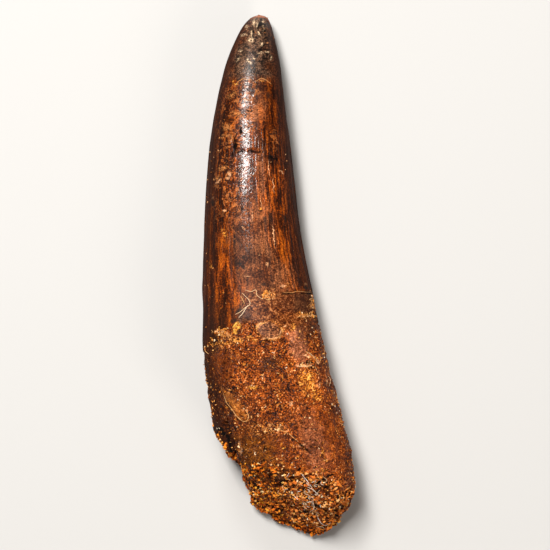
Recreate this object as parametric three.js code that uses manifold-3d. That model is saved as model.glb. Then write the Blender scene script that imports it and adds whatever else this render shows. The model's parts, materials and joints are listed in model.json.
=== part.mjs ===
// Fossil tooth of a spinosaur: a long, slightly curved cone with a fluted enamel crown, on a pitted root
// whose end is broken off. It lies on its side, on a small flat spot worn into the underside.
// Millimetres, +Z up. The tip points along +Y and the tooth bends in the XY plane.
// The origin is on the resting plane, under the middle of the tooth's outline.

import * as THREE from "three";
import { mergeVertices } from "three/addons/utils/BufferGeometryUtils.js";
import Module from "manifold-3d";

const wasm = await Module();
wasm.setup();

// Driving sizes
const tipY = 60.5;
const rootY = -64; // the unbroken root would have gone on past the break, which cuts it at about -60
const rest = { flatDepth: 0.4, middleY: -10, liftPerMm2: 0.0007, wornHeight: 1.4 };
const depthShare = { root: 0.81, tip: 0.95 }; // depth over width of the cross-section
const sectionPower = 2.15; // 2 is an ellipse, and more is squarer

// Side edges of the unbroken tooth seen from above, as x and y from the tip down
const leftEdgePoints = [
  [-4.4, 60.5], [-6.3, 59.7], [-8.2, 57.7], [-10.2, 53.9], [-12, 49.3], [-14.3, 40.1], [-16, 26.4],
  [-16.9, 10], [-17.4, -8], [-17.4, -17], [-16.1, -28.4], [-15, -35.3], [-13.9, -42], [-12, -50], [-9, -64],
];
const rightEdgePoints = [
  [-4.4, 60.5], [-2.8, 59.8], [-1.8, 57.9], [-0.8, 54], [0.2, 49.3], [1.3, 40.1], [2.8, 26.4],
  [4.7, 10], [8.5, -8], [13.6, -28.4], [16.5, -40], [17.5, -48], [17.5, -55], [16.5, -64],
];

// Crown relief
const fluteCount = 36;
const fluteDepth = 0.4;
const fluteSpan = { from: -8, to: 42, fade: 14 };
const carina = { height: 0.3, halfWidth: 1 }; // the low cutting ridge along each side of the crown
const enamel = { thickness: 0.32, edgeRun: 1.6, meanEndY: -13.75, endSwing: 5.6, endTurn: -0.951 };
const rootLumps = { height: 0.5, size: 3.8 };

// Broken root: two sloping fracture faces that meet in a corner low at the end, and a bite out of the left wall
const endFaces = [
  { x: 10.6, y: -61.6, z: 2, alongX: -0.43, alongZ: 0.54 }, // a point, and the run in +Y per millimetre of x and z
  { x: 10.6, y: -61.3, z: 2, alongX: 0.83, alongZ: 0.52 },
  { x: 2, y: -49, z: 21.5, alongX: 0.12, alongZ: 1.3 },
];
const endRounding = 4;
const endLumps = { height: 1.1, size: 3.4, sideways: 0.5 };
const filling = { depth: 0.7, from: 0.6, to: 0.85 }; // the sandy filling lies deeper than the root's own wall
const bitePoints = [
  [-18, -33.4], [-15.2, -36.2], [-12.8, -39], [-11.2, -41], [-9, -42.4], [-7.8, -44.6], [-7.1, -47],
  [-6.3, -49.6], [-5.4, -52.6], [-5, -54.8], [-3.8, -57.2], [0, -60], [4, -64],
];
const biteLean = 0.1; // how far the broken side wall leans in, per millimetre of height
const biteLumps = { height: 0.5, size: 2.6 };

// Small features
const flake = {
  height: 0.55, // a tongue-shaped scale that stands proud of the root
  points: [
    [-13.7, -25.1], [-12.6, -26.6], [-11.5, -28.3], [-10.8, -30.1], [-9.4, -31.5],
    [-7.8, -31.8], [-6.7, -30.6], [-7.4, -29.3], [-9.6, -27.9], [-11.3, -26.3],
  ],
};
const wallHollow = { at: [-11.5, -38.9, 13.8], radii: [1, 3.4, 8], leanDeg: 14 };
const cracks = [
  { from: [-6.8, 28.4], to: [-3.6, 28.1], width: 0.7, depth: 0.8 },
  { from: [2.6, -34.6], to: [7.4, -39.4], width: 0.7, depth: 0.9 },
];
const pits = [
  { x: -10, y: 29.6, radius: 0.9 },
  { x: 7.4, y: -17.6, radius: 1 },
  { x: -12.8, y: -34.2, radius: 0.9 },
  { x: -3.6, y: -36.2, radius: 0.9 },
  { x: -9.4, y: -13.6, radius: 0.9 },
  { x: 11.8, y: -39.6, radius: 1 },
  { x: 4.8, y: -26.2, radius: 0.8 },
];

// How finely the surface is faceted. Each flute takes two columns, a ridge and a groove.
const columns = 2 * fluteCount;
const tipRound = { length: 3.2, rows: 7 };
const crownRow = 3.6;
const rootRow = 1.8;
const breakCell = 1.5;
const keptDetail = 0.03; // smaller steps than this are flattened out

const degree = Math.PI / 180;
const { lerp, clamp } = THREE.MathUtils;

function smoothStep(low, high, value) {
  return THREE.MathUtils.smoothstep(value, low, high);
}

// The x of a curve through the points, at any y between its ends
function edgeFunction(points) {
  const ends = points.map(([x, y]) => new THREE.Vector3(x, y, 0));
  const samples = new THREE.CatmullRomCurve3(ends, false, "centripetal").getPoints(600);
  return (y) => {
    const after = clamp(samples.findIndex((sample) => sample.y <= y), 1, samples.length - 1);
    const [above, below] = [samples[after - 1], samples[after]];
    return lerp(above.x, below.x, clamp((above.y - y) / (above.y - below.y), 0, 1));
  };
}

const leftEdge = edgeFunction(leftEdgePoints);
const rightEdge = edgeFunction(rightEdgePoints);

// Centre and half sizes of the unbroken cross-section at y
function sectionAt(y) {
  const [left, right] = [leftEdge(y), rightEdge(y)];
  const halfWidth = (right - left) / 2;
  const halfDepth = halfWidth * lerp(depthShare.root, depthShare.tip, smoothStep(-20, tipY, y));
  const lift = rest.liftPerMm2 * (y - rest.middleY) ** 2;
  return { x: (left + right) / 2, z: lift - rest.flatDepth + halfDepth, halfWidth, halfDepth };
}

// Smooth noise from -1 to 1 that changes over about one unit
function latticeValue(i, j, k) {
  const wave = Math.sin(i * 127.1 + j * 311.7 + k * 74.7) * 43758.5453;
  return 2 * (wave - Math.floor(wave)) - 1;
}

function noise(x, y, z) {
  const corner = [x, y, z].map(Math.floor);
  const [u, v, w] = [x - corner[0], y - corner[1], z - corner[2]].map((t) => t * t * (3 - 2 * t));
  let sum = 0;
  for (const i of [0, 1])
    for (const j of [0, 1])
      for (const k of [0, 1]) {
        const weight = (i ? u : 1 - u) * (j ? v : 1 - v) * (k ? w : 1 - w);
        sum += weight * latticeValue(corner[0] + i, corner[1] + j, corner[2] + k);
      }
  return sum;
}

function lumps(x, y, z, { height, size }) {
  const coarse = noise(x / size, y / size, z / size);
  const fine = noise((2.1 * x) / size + 7, (2.1 * y) / size, (2.1 * z) / size);
  return height * (0.65 * coarse + 0.35 * fine);
}

function smoothMax(a, b, rounding) {
  const overlap = Math.max(rounding - Math.abs(a - b), 0) / rounding;
  return Math.max(a, b) + (overlap * overlap * rounding) / 4;
}

// Height of the relief over the plain cone. It is worn away around the flat spot.
function relief(section, x, y, z, angle, column) {
  const { from, to, fade } = fluteSpan;
  const fluted = smoothStep(from - fade / 2, from + fade / 2, y) * (1 - smoothStep(to - fade, to, y));
  const flute = -fluteDepth * (column % 2) * (1 + 0.5 * noise(column / 5, 0.5, y / 25));
  const fromSide = Math.abs(Math.sin(angle)) * section.halfDepth;
  const ridge = carina.height * Math.exp(-((fromSide / carina.halfWidth) ** 2));
  const enamelEndY = enamel.meanEndY - enamel.endSwing * Math.cos(angle - Math.PI + enamel.endTurn);
  const bare = 1 - smoothStep(0, enamel.edgeRun, y - enamelEndY);
  const unworn = smoothStep(0, rest.wornHeight, z);
  return unworn * (fluted * (flute + ridge) + bare * (lumps(x, y, z, rootLumps) - enamel.thickness));
}

function rowHeights() {
  const rows = [];
  for (let row = 1; row <= tipRound.rows; row += 1)
    rows.push(tipY - tipRound.length * (row / tipRound.rows) ** 2);
  const crownEnd = enamel.meanEndY + enamel.endSwing;
  const crownRows = Math.ceil((rows.at(-1) - crownEnd) / crownRow);
  const start = rows.at(-1);
  for (let row = 1; row <= crownRows; row += 1) rows.push(lerp(start, crownEnd, row / crownRows));
  const rootRows = Math.ceil((crownEnd - rootY) / rootRow);
  for (let row = 1; row <= rootRows; row += 1) rows.push(lerp(crownEnd, rootY, row / rootRows));
  return rows;
}

// The unbroken tooth as rings of points closed at both ends, standing `proud` of its true surface
function toothGeometry(proud) {
  const rows = rowHeights();
  const positions = [];
  for (const y of rows) {
    const section = sectionAt(y);
    for (let column = 0; column < columns; column += 1) {
      const angle = (column / columns) * 2 * Math.PI;
      const [across, up] = [Math.cos(angle), Math.sin(angle)];
      const reach = (Math.abs(across) ** sectionPower + Math.abs(up) ** sectionPower) ** (-1 / sectionPower);
      const x = section.x + section.halfWidth * reach * across;
      const z = section.z + section.halfDepth * reach * up;
      const height = relief(section, x, y, z, angle, column) + proud;
      positions.push(x + height * across, y, z + height * up);
    }
  }
  const [tip, end] = [sectionAt(tipY), sectionAt(rootY)];
  positions.push(tip.x, tipY + proud, tip.z, end.x, rootY, end.z);

  const faces = [];
  const tipPole = rows.length * columns;
  const bottom = (rows.length - 1) * columns;
  for (let column = 0; column < columns; column += 1) {
    const next = (column + 1) % columns;
    faces.push(tipPole, next, column, tipPole + 1, bottom + column, bottom + next);
    for (let first = 0; first < bottom; first += columns) {
      const [a, b] = [first + column, first + next];
      const [c, d] = [a + columns, b + columns];
      faces.push(a, b, c, b, d, c);
    }
  }
  const geometry = new THREE.BufferGeometry();
  geometry.setAttribute("position", new THREE.Float32BufferAttribute(positions, 3));
  geometry.setIndex(faces);
  return geometry;
}

// The geometry with its corners joined up, and each point moved when there is a rule for it
function joinPoints(geometry, move) {
  const bare = geometry.clone();
  bare.deleteAttribute("normal");
  bare.deleteAttribute("uv");
  const joined = mergeVertices(bare, 1e-4);
  const points = joined.attributes.position;
  const point = new THREE.Vector3();
  for (let i = 0; move && i < points.count; i += 1) {
    move(point.fromBufferAttribute(points, i));
    points.setXYZ(i, point.x, point.y, point.z);
  }
  return joined;
}

function solidFrom(geometry, move) {
  const joined = joinPoints(geometry, move);
  const triVerts = new Uint32Array(joined.index.array);
  const vertProperties = joined.attributes.position.array;
  return new wasm.Manifold(new wasm.Mesh({ numProp: 3, vertProperties, triVerts }));
}

// How far +Y the fracture lies over the point x, z
function fractureY(x, z) {
  const faces = endFaces.map((face) => face.y + face.alongX * (x - face.x) + face.alongZ * (z - face.z));
  const y = faces.reduce((a, b) => smoothMax(a, b, endRounding));
  const section = sectionAt(clamp(y, rootY, tipY));
  const across = Math.abs((x - section.x) / section.halfWidth);
  const up = Math.abs((z - section.z) / section.halfDepth);
  const fromMiddle = (across ** sectionPower + up ** sectionPower) ** (1 / sectionPower);
  const recess = filling.depth * (1 - smoothStep(filling.from, filling.to, fromMiddle));
  return y + recess + lumps(x, y, z, endLumps);
}

// Everything beyond the broken end, as a block with a lumpy face
function endCutter() {
  const [width, depth, height] = [48, 20, 42];
  const farY = rootY - 2 * depth;
  const block = new THREE.BoxGeometry(width, depth, height, width / breakCell, 1, height / breakCell);
  return solidFrom(block.translate(0, farY + depth / 2, 12), (point) => {
    if (point.y < farY + depth / 2) return;
    point.x += endLumps.sideways * noise(point.x, 40, point.z);
    point.z += endLumps.sideways * noise(point.x, 80, point.z);
    point.y = fractureY(point.x, point.z);
  });
}

// What is missing from the left wall, as an extrusion of the bite's outline with a lumpy side
function biteCutter() {
  const outline = new THREE.Shape();
  const farX = -40;
  outline.moveTo(...bitePoints[0]);
  outline.splineThru(bitePoints.slice(1).map(([x, y]) => new THREE.Vector2(x, y)));
  outline.lineTo(farX, rootY);
  outline.lineTo(farX, bitePoints[0][1]);
  const depth = 36;
  const shape = { depth, steps: depth / breakCell, curveSegments: 2, bevelEnabled: false };
  const block = new THREE.ExtrudeGeometry(outline, shape);
  return solidFrom(block.translate(0, 0, -6), (point) => {
    if (point.x < farX + 1) return;
    const { z } = sectionAt(clamp(point.y, rootY, tipY));
    point.x += biteLean * (point.z - z) + lumps(point.x, point.y, point.z, biteLumps);
  });
}

// Height of the upper surface over the point x, y
function topZ(x, y) {
  const section = sectionAt(y);
  const across = Math.abs((x - section.x) / section.halfWidth);
  return section.z + section.halfDepth * (1 - across ** sectionPower) ** (1 / sectionPower);
}

function crackCutter({ from, to, width, depth }) {
  const [dx, dy] = [to[0] - from[0], to[1] - from[1]];
  const [x, y] = [(from[0] + to[0]) / 2, (from[1] + to[1]) / 2];
  const cutter = new THREE.OctahedronGeometry(1);
  cutter.scale(Math.hypot(dx, dy) / 2, width / 2, depth);
  cutter.rotateZ(Math.atan2(dy, dx));
  return solidFrom(cutter.translate(x, y, topZ(x, y)));
}

function pitCutter({ x, y, radius }) {
  const cutter = new THREE.IcosahedronGeometry(radius, 1);
  return solidFrom(cutter.translate(x, y, topZ(x, y) + radius * 0.2));
}

function hollowCutter({ at, radii, leanDeg }) {
  const cutter = new THREE.IcosahedronGeometry(1, 2);
  cutter.scale(...radii);
  cutter.rotateZ(-leanDeg * degree);
  return solidFrom(cutter.translate(...at));
}

function flakeSolid({ points, height }) {
  const outline = new THREE.Shape();
  outline.moveTo(...points[0]);
  outline.splineThru(points.slice(1).map(([x, y]) => new THREE.Vector2(x, y)));
  const prism = new THREE.ExtrudeGeometry(outline, { depth: 30, bevelEnabled: false, curveSegments: 2 });
  const middleZ = sectionAt(points[0][1]).z;
  return solidFrom(prism.translate(0, 0, middleZ)).intersect(solidFrom(toothGeometry(height)));
}

function restingBench() {
  const bench = new THREE.BoxGeometry(100, 200, 10);
  return solidFrom(bench.translate(0, 0, -5));
}

const cutters = [endCutter(), biteCutter(), hollowCutter(wallHollow), restingBench()];
cutters.push(...cracks.map(crackCutter), ...pits.map(pitCutter));
let tooth = solidFrom(toothGeometry(0)).add(flakeSolid(flake));
for (const cutter of cutters) tooth = tooth.subtract(cutter);
tooth = tooth.simplify(keptDetail);
const { min, max } = tooth.boundingBox();
tooth = tooth.translate(-(min[0] + max[0]) / 2, -(min[1] + max[1]) / 2, 0);

function meshFrom(solid, name, material) {
  const { vertProperties, triVerts } = solid.getMesh();
  const geometry = new THREE.BufferGeometry();
  geometry.setAttribute("position", new THREE.BufferAttribute(vertProperties, 3));
  geometry.setIndex(new THREE.BufferAttribute(triVerts, 1));
  geometry.computeVertexNormals();
  const mesh = new THREE.Mesh(geometry, material);
  mesh.name = name;
  return mesh;
}

const fossilEnamel = new THREE.MeshStandardMaterial({ color: 0x6e3a1c, roughness: 0.42, metalness: 0 });
const group = new THREE.Group();
group.add(meshFrom(tooth, "tooth", fossilEnamel));

export default group;
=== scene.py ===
# A fossil spinosaur tooth lying on its side: a fluted enamel crown, a pitted root and a sandy broken end.
import json
import math

import bpy
import numpy as np
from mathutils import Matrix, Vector
from mathutils.kdtree import KDTree

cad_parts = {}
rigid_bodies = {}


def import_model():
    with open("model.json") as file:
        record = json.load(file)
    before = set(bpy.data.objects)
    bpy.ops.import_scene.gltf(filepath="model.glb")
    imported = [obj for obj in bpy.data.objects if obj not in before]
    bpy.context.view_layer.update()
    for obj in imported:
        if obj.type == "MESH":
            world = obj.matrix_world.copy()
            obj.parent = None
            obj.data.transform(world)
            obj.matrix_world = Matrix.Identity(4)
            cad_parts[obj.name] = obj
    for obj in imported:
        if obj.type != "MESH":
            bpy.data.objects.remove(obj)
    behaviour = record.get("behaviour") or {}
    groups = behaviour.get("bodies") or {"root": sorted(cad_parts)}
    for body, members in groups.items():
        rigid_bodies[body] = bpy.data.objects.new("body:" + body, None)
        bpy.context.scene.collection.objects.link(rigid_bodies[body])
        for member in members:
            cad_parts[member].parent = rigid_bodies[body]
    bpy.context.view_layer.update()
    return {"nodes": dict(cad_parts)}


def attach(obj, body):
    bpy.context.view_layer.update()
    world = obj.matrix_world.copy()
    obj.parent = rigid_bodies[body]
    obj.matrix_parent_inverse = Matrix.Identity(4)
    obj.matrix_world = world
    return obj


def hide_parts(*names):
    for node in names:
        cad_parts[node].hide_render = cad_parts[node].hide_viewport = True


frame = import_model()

mm = 0.001  # every length below is in millimetres until it goes into a mesh
print("frame loaded:", *frame["nodes"])

def latticeNoise(points, size, shift=0.0):  # from -1 to 1, changing over about one size
    p = points / size
    corner = np.floor(p + (shift, 0, 0))
    f = p + (shift, 0, 0) - corner
    f = f * f * (3 - 2 * f)
    total = np.zeros(p.shape[:-1])
    for i in (0, 1):
        for j in (0, 1):
            for k in (0, 1):
                x, y, z = corner[..., 0] + i, corner[..., 1] + j, corner[..., 2] + k
                wave = np.sin(x * 127.1 + y * 311.7 + z * 74.7) * 43758.5453
                weight = (np.where(i, f[..., 0], 1 - f[..., 0]) * np.where(j, f[..., 1], 1 - f[..., 1])
                          * np.where(k, f[..., 2], 1 - f[..., 2]))
                total += weight * (2 * (wave - np.floor(wave)) - 1)
    return total

def lumps(points, height, size):
    return height * (0.65 * latticeNoise(points, size) + 0.35 * latticeNoise(points, size / 2.1, 7))

def smoothStep(low, high, value):  # low may lie above high
    t = np.clip((value - low) / (high - low), 0, 1)
    return t * t * (3 - 2 * t)

def smoothMax(a, b, rounding):
    overlap = np.maximum(rounding - np.abs(a - b), 0) / rounding
    return np.maximum(a, b) + overlap * overlap * rounding / 4

# The tooth's plain form: sections between two side edges, cut by the fracture.
toothShape = {
    "tipY": 60.5,
    "shift": (0.13, -0.02, 0.0),  # puts the origin under the middle of the outline
    "thinnest": 0.02,
    "flatDepth": 0.4, "liftMiddleY": -10.0, "liftPerMm2": 0.0007, "wornHeight": 1.4, "apexRise": 0.04,
    "depthShareRoot": 0.81, "depthShareTip": 0.95, "sectionPower": 2.15,
    "leftEdge": [(-4.4, 60.5), (-6.3, 59.7), (-8.2, 57.7), (-10.2, 53.9), (-12, 49.3), (-14.3, 40.1),
                 (-16, 26.4), (-16.9, 10), (-17.4, -8), (-17.4, -17), (-16.1, -28.4), (-15, -35.3),
                 (-13.9, -42), (-12, -50), (-9, -64)],
    "rightEdge": [(-4.4, 60.5), (-2.8, 59.8), (-1.8, 57.9), (-0.8, 54), (0.2, 49.3), (1.3, 40.1),
                  (2.8, 26.4), (4.7, 10), (8.5, -8), (13.6, -28.4), (16.5, -40), (17.5, -48), (17.5, -55),
                  (16.5, -64)],
}
fracture = {
    # each face: a point x, y, z on it, and how far it runs along +Y per millimetre of x and of z
    "faces": [(10.6, -61.6, 2, -0.43, 0.54), (10.6, -61.3, 2, 0.83, 0.52), (2, -49, 21.5, 0.12, 1.3)],
    "faceRounding": 4.0, "biteRounding": 0.8, "edgeRounding": 1.2, "startY": -22.0,
    "steepness": 0.75,  # how far it is to a sloping face for each millimetre along Y
    "bite": [(-18, -33.4), (-15.2, -36.2), (-12.8, -39), (-11.2, -41), (-9, -42.4), (-7.8, -44.6),
             (-7.1, -47), (-6.3, -49.6), (-5.4, -52.6), (-5, -54.8), (-3.8, -57.2), (0, -60), (4, -64)],
    "biteLean": 0.1,
}
bodyGrid = {
    "columns": 288, "tipRows": 14, "spanRows": 272, "endRows": 54,
    "topCrowding": 0.22,  # columns stand closer on the upper side, which shows
    "tipFanY": 57.0, "fanPoint": (4.0, -43.0, 9.5), "fanStartY": -24.0,
    "reach": 40.0, "halvings": 26,
}
deepInside = -50.0

def curveThrough(points, perSpan=24):  # a centripetal Catmull-Rom curve
    p = np.array(points, float)
    p = np.vstack([2 * p[0] - p[1], p, 2 * p[-1] - p[-2]])
    step = np.sqrt(np.linalg.norm(np.diff(p, axis=0), axis=1))
    u = np.linspace(0, 1, perSpan, endpoint=False)[:, None]
    spans = []
    for i in range(1, len(p) - 2):
        before, here, there = step[i - 1:i + 2]
        a, b, c, d = p[i - 1:i + 3]
        leave = ((b - a) / before - (c - a) / (before + here) + (c - b) / here) * here
        arrive = ((c - b) / here - (d - b) / (here + there) + (d - c) / there) * here
        spans.append((2 * u**3 - 3 * u**2 + 1) * b + (u**3 - 2 * u**2 + u) * leave
                     + (3 * u**2 - 2 * u**3) * c + (u**3 - u**2) * arrive)
    return np.vstack(spans + [p[-2:-1]])

def edgeAt(points):  # the x of the curve at any y
    samples = curveThrough(points)[::-1]
    return lambda y: np.interp(y, samples[:, 1], samples[:, 0])

leftEdge, rightEdge = edgeAt(toothShape["leftEdge"]), edgeAt(toothShape["rightEdge"])
biteEdge = edgeAt(fracture["bite"])

def sectionAt(y):  # centre x and z, half width and half depth
    s = toothShape
    left, right = leftEdge(y), rightEdge(y)
    halfWidth = np.maximum((right - left) / 2, s["thinnest"])
    share = s["depthShareRoot"] + (s["depthShareTip"] - s["depthShareRoot"]) * smoothStep(-20, s["tipY"], y)
    lift = s["liftPerMm2"] * (y - s["liftMiddleY"]) ** 2
    return (left + right) / 2, lift - s["flatDepth"] + halfWidth * share, halfWidth, halfWidth * share

def wallField(p):  # negative inside the unbroken tooth
    x, z, halfWidth, halfDepth = sectionAt(p[..., 1])
    power = toothShape["sectionPower"]
    sideways, upwards = np.abs((p[..., 0] - x) / halfWidth), np.abs((p[..., 2] - z) / halfDepth)
    share = (sideways ** power + upwards ** power) ** (1 / power)
    return np.maximum((share - 1) * np.minimum(halfWidth, halfDepth), p[..., 1] - toothShape["tipY"])

def breakField(p):  # negative on the side of the fracture that is left
    f, x, y, z = fracture, p[..., 0], p[..., 1], p[..., 2]
    faces = [atY + runX * (x - atX) + runZ * (z - atZ) for atX, atY, atZ, runX, runZ in f["faces"]]
    endY = smoothMax(smoothMax(faces[0], faces[1], f["faceRounding"]), faces[2], f["faceRounding"])
    bite = biteEdge(y) + f["biteLean"] * (z - sectionAt(y)[1]) - x
    bite = np.where(y < f["bite"][0][1], bite, deepInside)
    broken = smoothMax((endY - y) * f["steepness"], bite, f["biteRounding"])
    return np.where(y < f["startY"], broken, deepInside)

def toothField(p):
    return smoothMax(wallField(p), breakField(p), fracture["edgeRounding"])

def gridRays():  # where each row's rays start, and which way each column's ray points
    g = bodyGrid
    tip = sectionAt(g["tipFanY"])
    starts = [(tip[0], g["tipFanY"], tip[1])] * (g["tipRows"] - 1)
    turns = [90 * (1 - i / g["tipRows"]) for i in range(1, g["tipRows"])]
    fan = np.array(g["fanPoint"])
    for y in np.linspace(g["tipFanY"], fan[1], g["spanRows"]):
        x, z, _, _ = sectionAt(y)
        drift = 1 - smoothStep(fan[1], g["fanStartY"], y)
        starts.append(tuple(np.array((x, y, z)) * (1 - drift) + np.array((fan[0], y, fan[2])) * drift))
        turns.append(0)
    starts += [tuple(fan)] * (g["endRows"] - 1)
    turns += [-90 * i / g["endRows"] for i in range(1, g["endRows"])]
    around = np.arange(g["columns"]) / g["columns"] * 2 * math.pi
    angle = around + g["topCrowding"] * np.cos(around)
    turn = np.radians(turns)[:, None]
    rays = [np.cos(angle) * np.cos(turn), np.sin(turn) + 0 * angle, np.sin(angle) * np.cos(turn)]
    return np.array(starts)[:, None, :], np.stack(rays, axis=-1)

def reachSurface(start, ray):
    near, far = np.zeros(ray.shape[:-1]), np.full(ray.shape[:-1], bodyGrid["reach"])
    for _ in range(bodyGrid["halvings"]):
        middle = (near + far) / 2
        inside = toothField(start + ray * middle[..., None]) < 0
        near, far = np.where(inside, middle, near), np.where(inside, far, middle)
    return start + ray * near[..., None]

starts, rays = gridRays()
plain = reachSurface(starts, rays)
outward = np.cross(np.roll(plain, -1, axis=1) - np.roll(plain, 1, axis=1), np.gradient(plain, axis=0))
outward /= np.maximum(np.linalg.norm(outward, axis=-1, keepdims=True), 1e-9)
outward *= np.sign((outward * rays).sum(-1, keepdims=True))
print("plain form:", plain.shape[0], "rows of", plain.shape[1])

# The relief, and the masks that the materials read.
crown = {
    "flutes": 36, "paintedFlutes": 72, "fluteDepth": 0.09, "fluteNarrowness": 3.0,
    "fluteFrom": -6.0, "fluteTo": 40.0, "fluteFade": 14.0,
    "carinaHeight": 0.3, "carinaHalfWidth": 0.9, "grain": 0.05,
    "middleX": -1.2, "middleHalfWidth": 3.2, "middleWear": 0.95,  # the strip worn smooth on the upper side
    "enamelThickness": 0.3, "enamelEndY": -13.75, "endSwing": 5.6, "endTurn": math.radians(234.5),
    "tongues": [(3.2, 0.5, 5, 4), (1.2, 6, 2.4, 2)],  # of enamel: length, x, half width, power
    "tipFrom": 42.3, "tipTo": 46.8,
    "collarY": -3.5,  # above this the enamel is fluted, and below it a thin smooth collar is left
}
root = {
    "lumpHeight": 0.5, "lumpSize": 3.8, "grain": [(0.2, 1.5, 1), (0.1, 0.8, 4)],  # height, size, shift
    "pitCount": 420, "pitRadius": (0.16, 0.5), "pitDepth": 0.7, "pitSeed": 7,
}
sandyEnd = {"lumpHeight": 1.1, "lumpSize": 3.4, "grain": [(0.45, 1.3, 8), (0.25, 0.7, 13)]}
plateEdge = {"rimHalfWidth": 0.28, "blend": 0.4}
outlineWobble = {"size": 2.2, "reach": 0.35}
flake = {
    "height": 0.6,
    "outline": [(-13.7, -25.1), (-12.8, -26.9), (-11.6, -28.8), (-10.4, -30.2), (-9.6, -31.4), (-8.4, -32.5),
                (-7.4, -32.5), (-6.8, -31.6), (-7.2, -30.5), (-8.3, -29.2), (-9.9, -27.6), (-11.6, -25.8)],
}
scale = {  # a low rounded scale at the lower edge of the collar
    "height": 0.22,
    "outline": [(-5.3, -12.4), (-4.9, -11), (-3.2, -10.2), (-1, -10.4), (0.6, -11.5), (0.9, -12.6),
                (0.1, -13.8), (-2, -14.1), (-4, -13.8)],
    "ring": (-2.2, -12.3, 3, 1.85, -3),  # an oval round it: x, y, half width, half height, turn
}
cuts = [  # open cracks on the upper side: half width, depth, then x, y points
    (0.34, 0.4, [(-10.3, 30.9), (-10.1, 30.2), (-10.0, 29.4)]),
    (0.2, 0.15, [(-9.9, 28.5), (-8.9, 28.5), (-7.9, 28.4)]),
    (0.22, 0.2, [(-6.9, 28.5), (-5.9, 28.45), (-3.7, 28.2)]),
    (0.2, 0.2, [(-2.3, 26.9), (-0.2, 26.6)]),
    (0.16, 0.35, [(0.9, -3.9), (2.9, -4), (4, -3.7), (5.9, -3.9), (7.6, -3.9)]),
    (0.2, 0.6, [(4.2, -37.3), (5.2, -38.1), (7.4, -39.7)]),
    (0.22, 0.5, [(6.5, -19.4), (7.6, -19.5)]),
    (0.2, 0.5, [(7, -20.6), (8.9, -20.6)]),
    (0.5, 2.6, [(-12.3, -33.4), (-11.6, -35.4), (-11, -38), (-10.4, -40.8)]),
    (0.9, 1.1, [(3.3, -54), (4.3, -54.6), (5.6, -55)]),
]
ridges = [  # thin raised edges: half width, height, then x, y points
    (0.2, 0.25, [(0.3, -34.4), (1.7, -35), (3.1, -36.1), (4.2, -37)]),
    (0.3, 0.12, [(1, -3.3), (4, -3.1), (7.4, -3.3)]),
]

def toLine(xy, line):  # distance from each point to an open line, seen from above
    nearest = np.full(xy.shape[:-1], 1e9)
    for a, b in zip(np.array(line, float)[:-1], np.array(line, float)[1:]):
        along = np.clip(((xy - a) @ (b - a)) / ((b - a) @ (b - a)), 0, 1)
        nearest = np.minimum(nearest, np.linalg.norm(xy - a - along[..., None] * (b - a), axis=-1))
    return nearest

def insideOutline(xy, outline):  # how deep inside a closed outline each point is, negative outside
    ring = curveThrough(outline + outline[:1], 6)
    crossings = np.zeros(xy.shape[:-1], int)
    for (x0, y0), (x1, y1) in zip(ring[:-1], ring[1:]):
        if y0 != y1:
            spans = (xy[..., 1] < y0) != (xy[..., 1] < y1)
            crossings += spans & (xy[..., 0] < x0 + (xy[..., 1] - y0) / (y1 - y0) * (x1 - x0))
    return toLine(xy, ring) * np.where(crossings % 2, 1, -1)

centreX, centreZ, halfWidth, halfDepth = sectionAt(plain[..., 1])
x, y, z = plain[..., 0], plain[..., 1], plain[..., 2]
angle = np.arctan2((z - centreZ) / halfDepth, (x - centreX) / halfWidth)
upper = smoothStep(0, 2, z - centreZ)
unworn = smoothStep(0, toothShape["wornHeight"], z)
wobble = np.stack([latticeNoise(plain, outlineWobble["size"], shift) for shift in (3, 11)], -1)
wobble *= outlineWobble["reach"]
topXY = plain[..., :2] + wobble
ragged = 0.9 * latticeNoise(plain, 2.4, 5) + 0.5 * latticeNoise(plain, 0.9, 9)

for plate in (flake, scale):
    plate["depth"] = insideOutline(topXY, plate["outline"])
    plate["rim"] = np.exp(-((plate["depth"] / plateEdge["rimHalfWidth"]) ** 2)) * upper
    plate["inside"] = smoothStep(0, plateEdge["blend"], plate["depth"]) * upper

enamelEndY = crown["enamelEndY"] - crown["endSwing"] * np.cos(angle - crown["endTurn"]) + ragged
tongues = (reach * np.exp(-((x - middle) / half) ** power) for reach, middle, half, power in crown["tongues"])
enamelEndY -= upper * sum(tongues)
masks = {
    "enamel": np.maximum(smoothStep(-0.3, 0.3, y - enamelEndY), scale["inside"]),
    "crownPart": smoothStep(-0.5, 0.5, (y - crown["collarY"] + 14 * smoothStep(-8, -11, x)
                                        - 0.5 * ragged * (x < 0))),
    "sandy": smoothStep(-0.7, 0.2, breakField(plain) + 0.6 * ragged),
    "tipPart": smoothStep(crown["tipFrom"], crown["tipTo"], y + 2 * latticeNoise(plain, 4, 2)),
    "upper": upper,
}
bare = 1 - masks["enamel"]

flutePhase = 0.5 - 0.5 * np.cos(crown["flutes"] * angle)
fluteSpot = np.stack([10 * np.cos(angle), 10 * np.sin(angle), y * 0.15], -1)
fluted = (smoothStep(crown["fluteFrom"] - 2, crown["fluteFrom"] + 4, y)
          * (1 - smoothStep(crown["fluteTo"] - crown["fluteFade"], crown["fluteTo"], y)))
fluteStrength = fluted * np.clip(0.6 + 0.8 * latticeNoise(fluteSpot, 2.6), 0.1, 1.2)
smoothMiddle = upper * np.exp(-((x - centreX - crown["middleX"]) / crown["middleHalfWidth"]) ** 4)
fluteStrength *= 1 - crown["middleWear"] * smoothMiddle
groove = flutePhase ** crown["fluteNarrowness"] * fluteStrength
fromSide = np.abs(z - centreZ) / crown["carinaHalfWidth"]
carina = crown["carinaHeight"] * np.exp(-fromSide**2) * fluted

def rough(part):
    grain = (rise * latticeNoise(plain, size, shift) for rise, size, shift in part["grain"])
    return sum(grain, lumps(plain, part["lumpHeight"], part["lumpSize"]))

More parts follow.
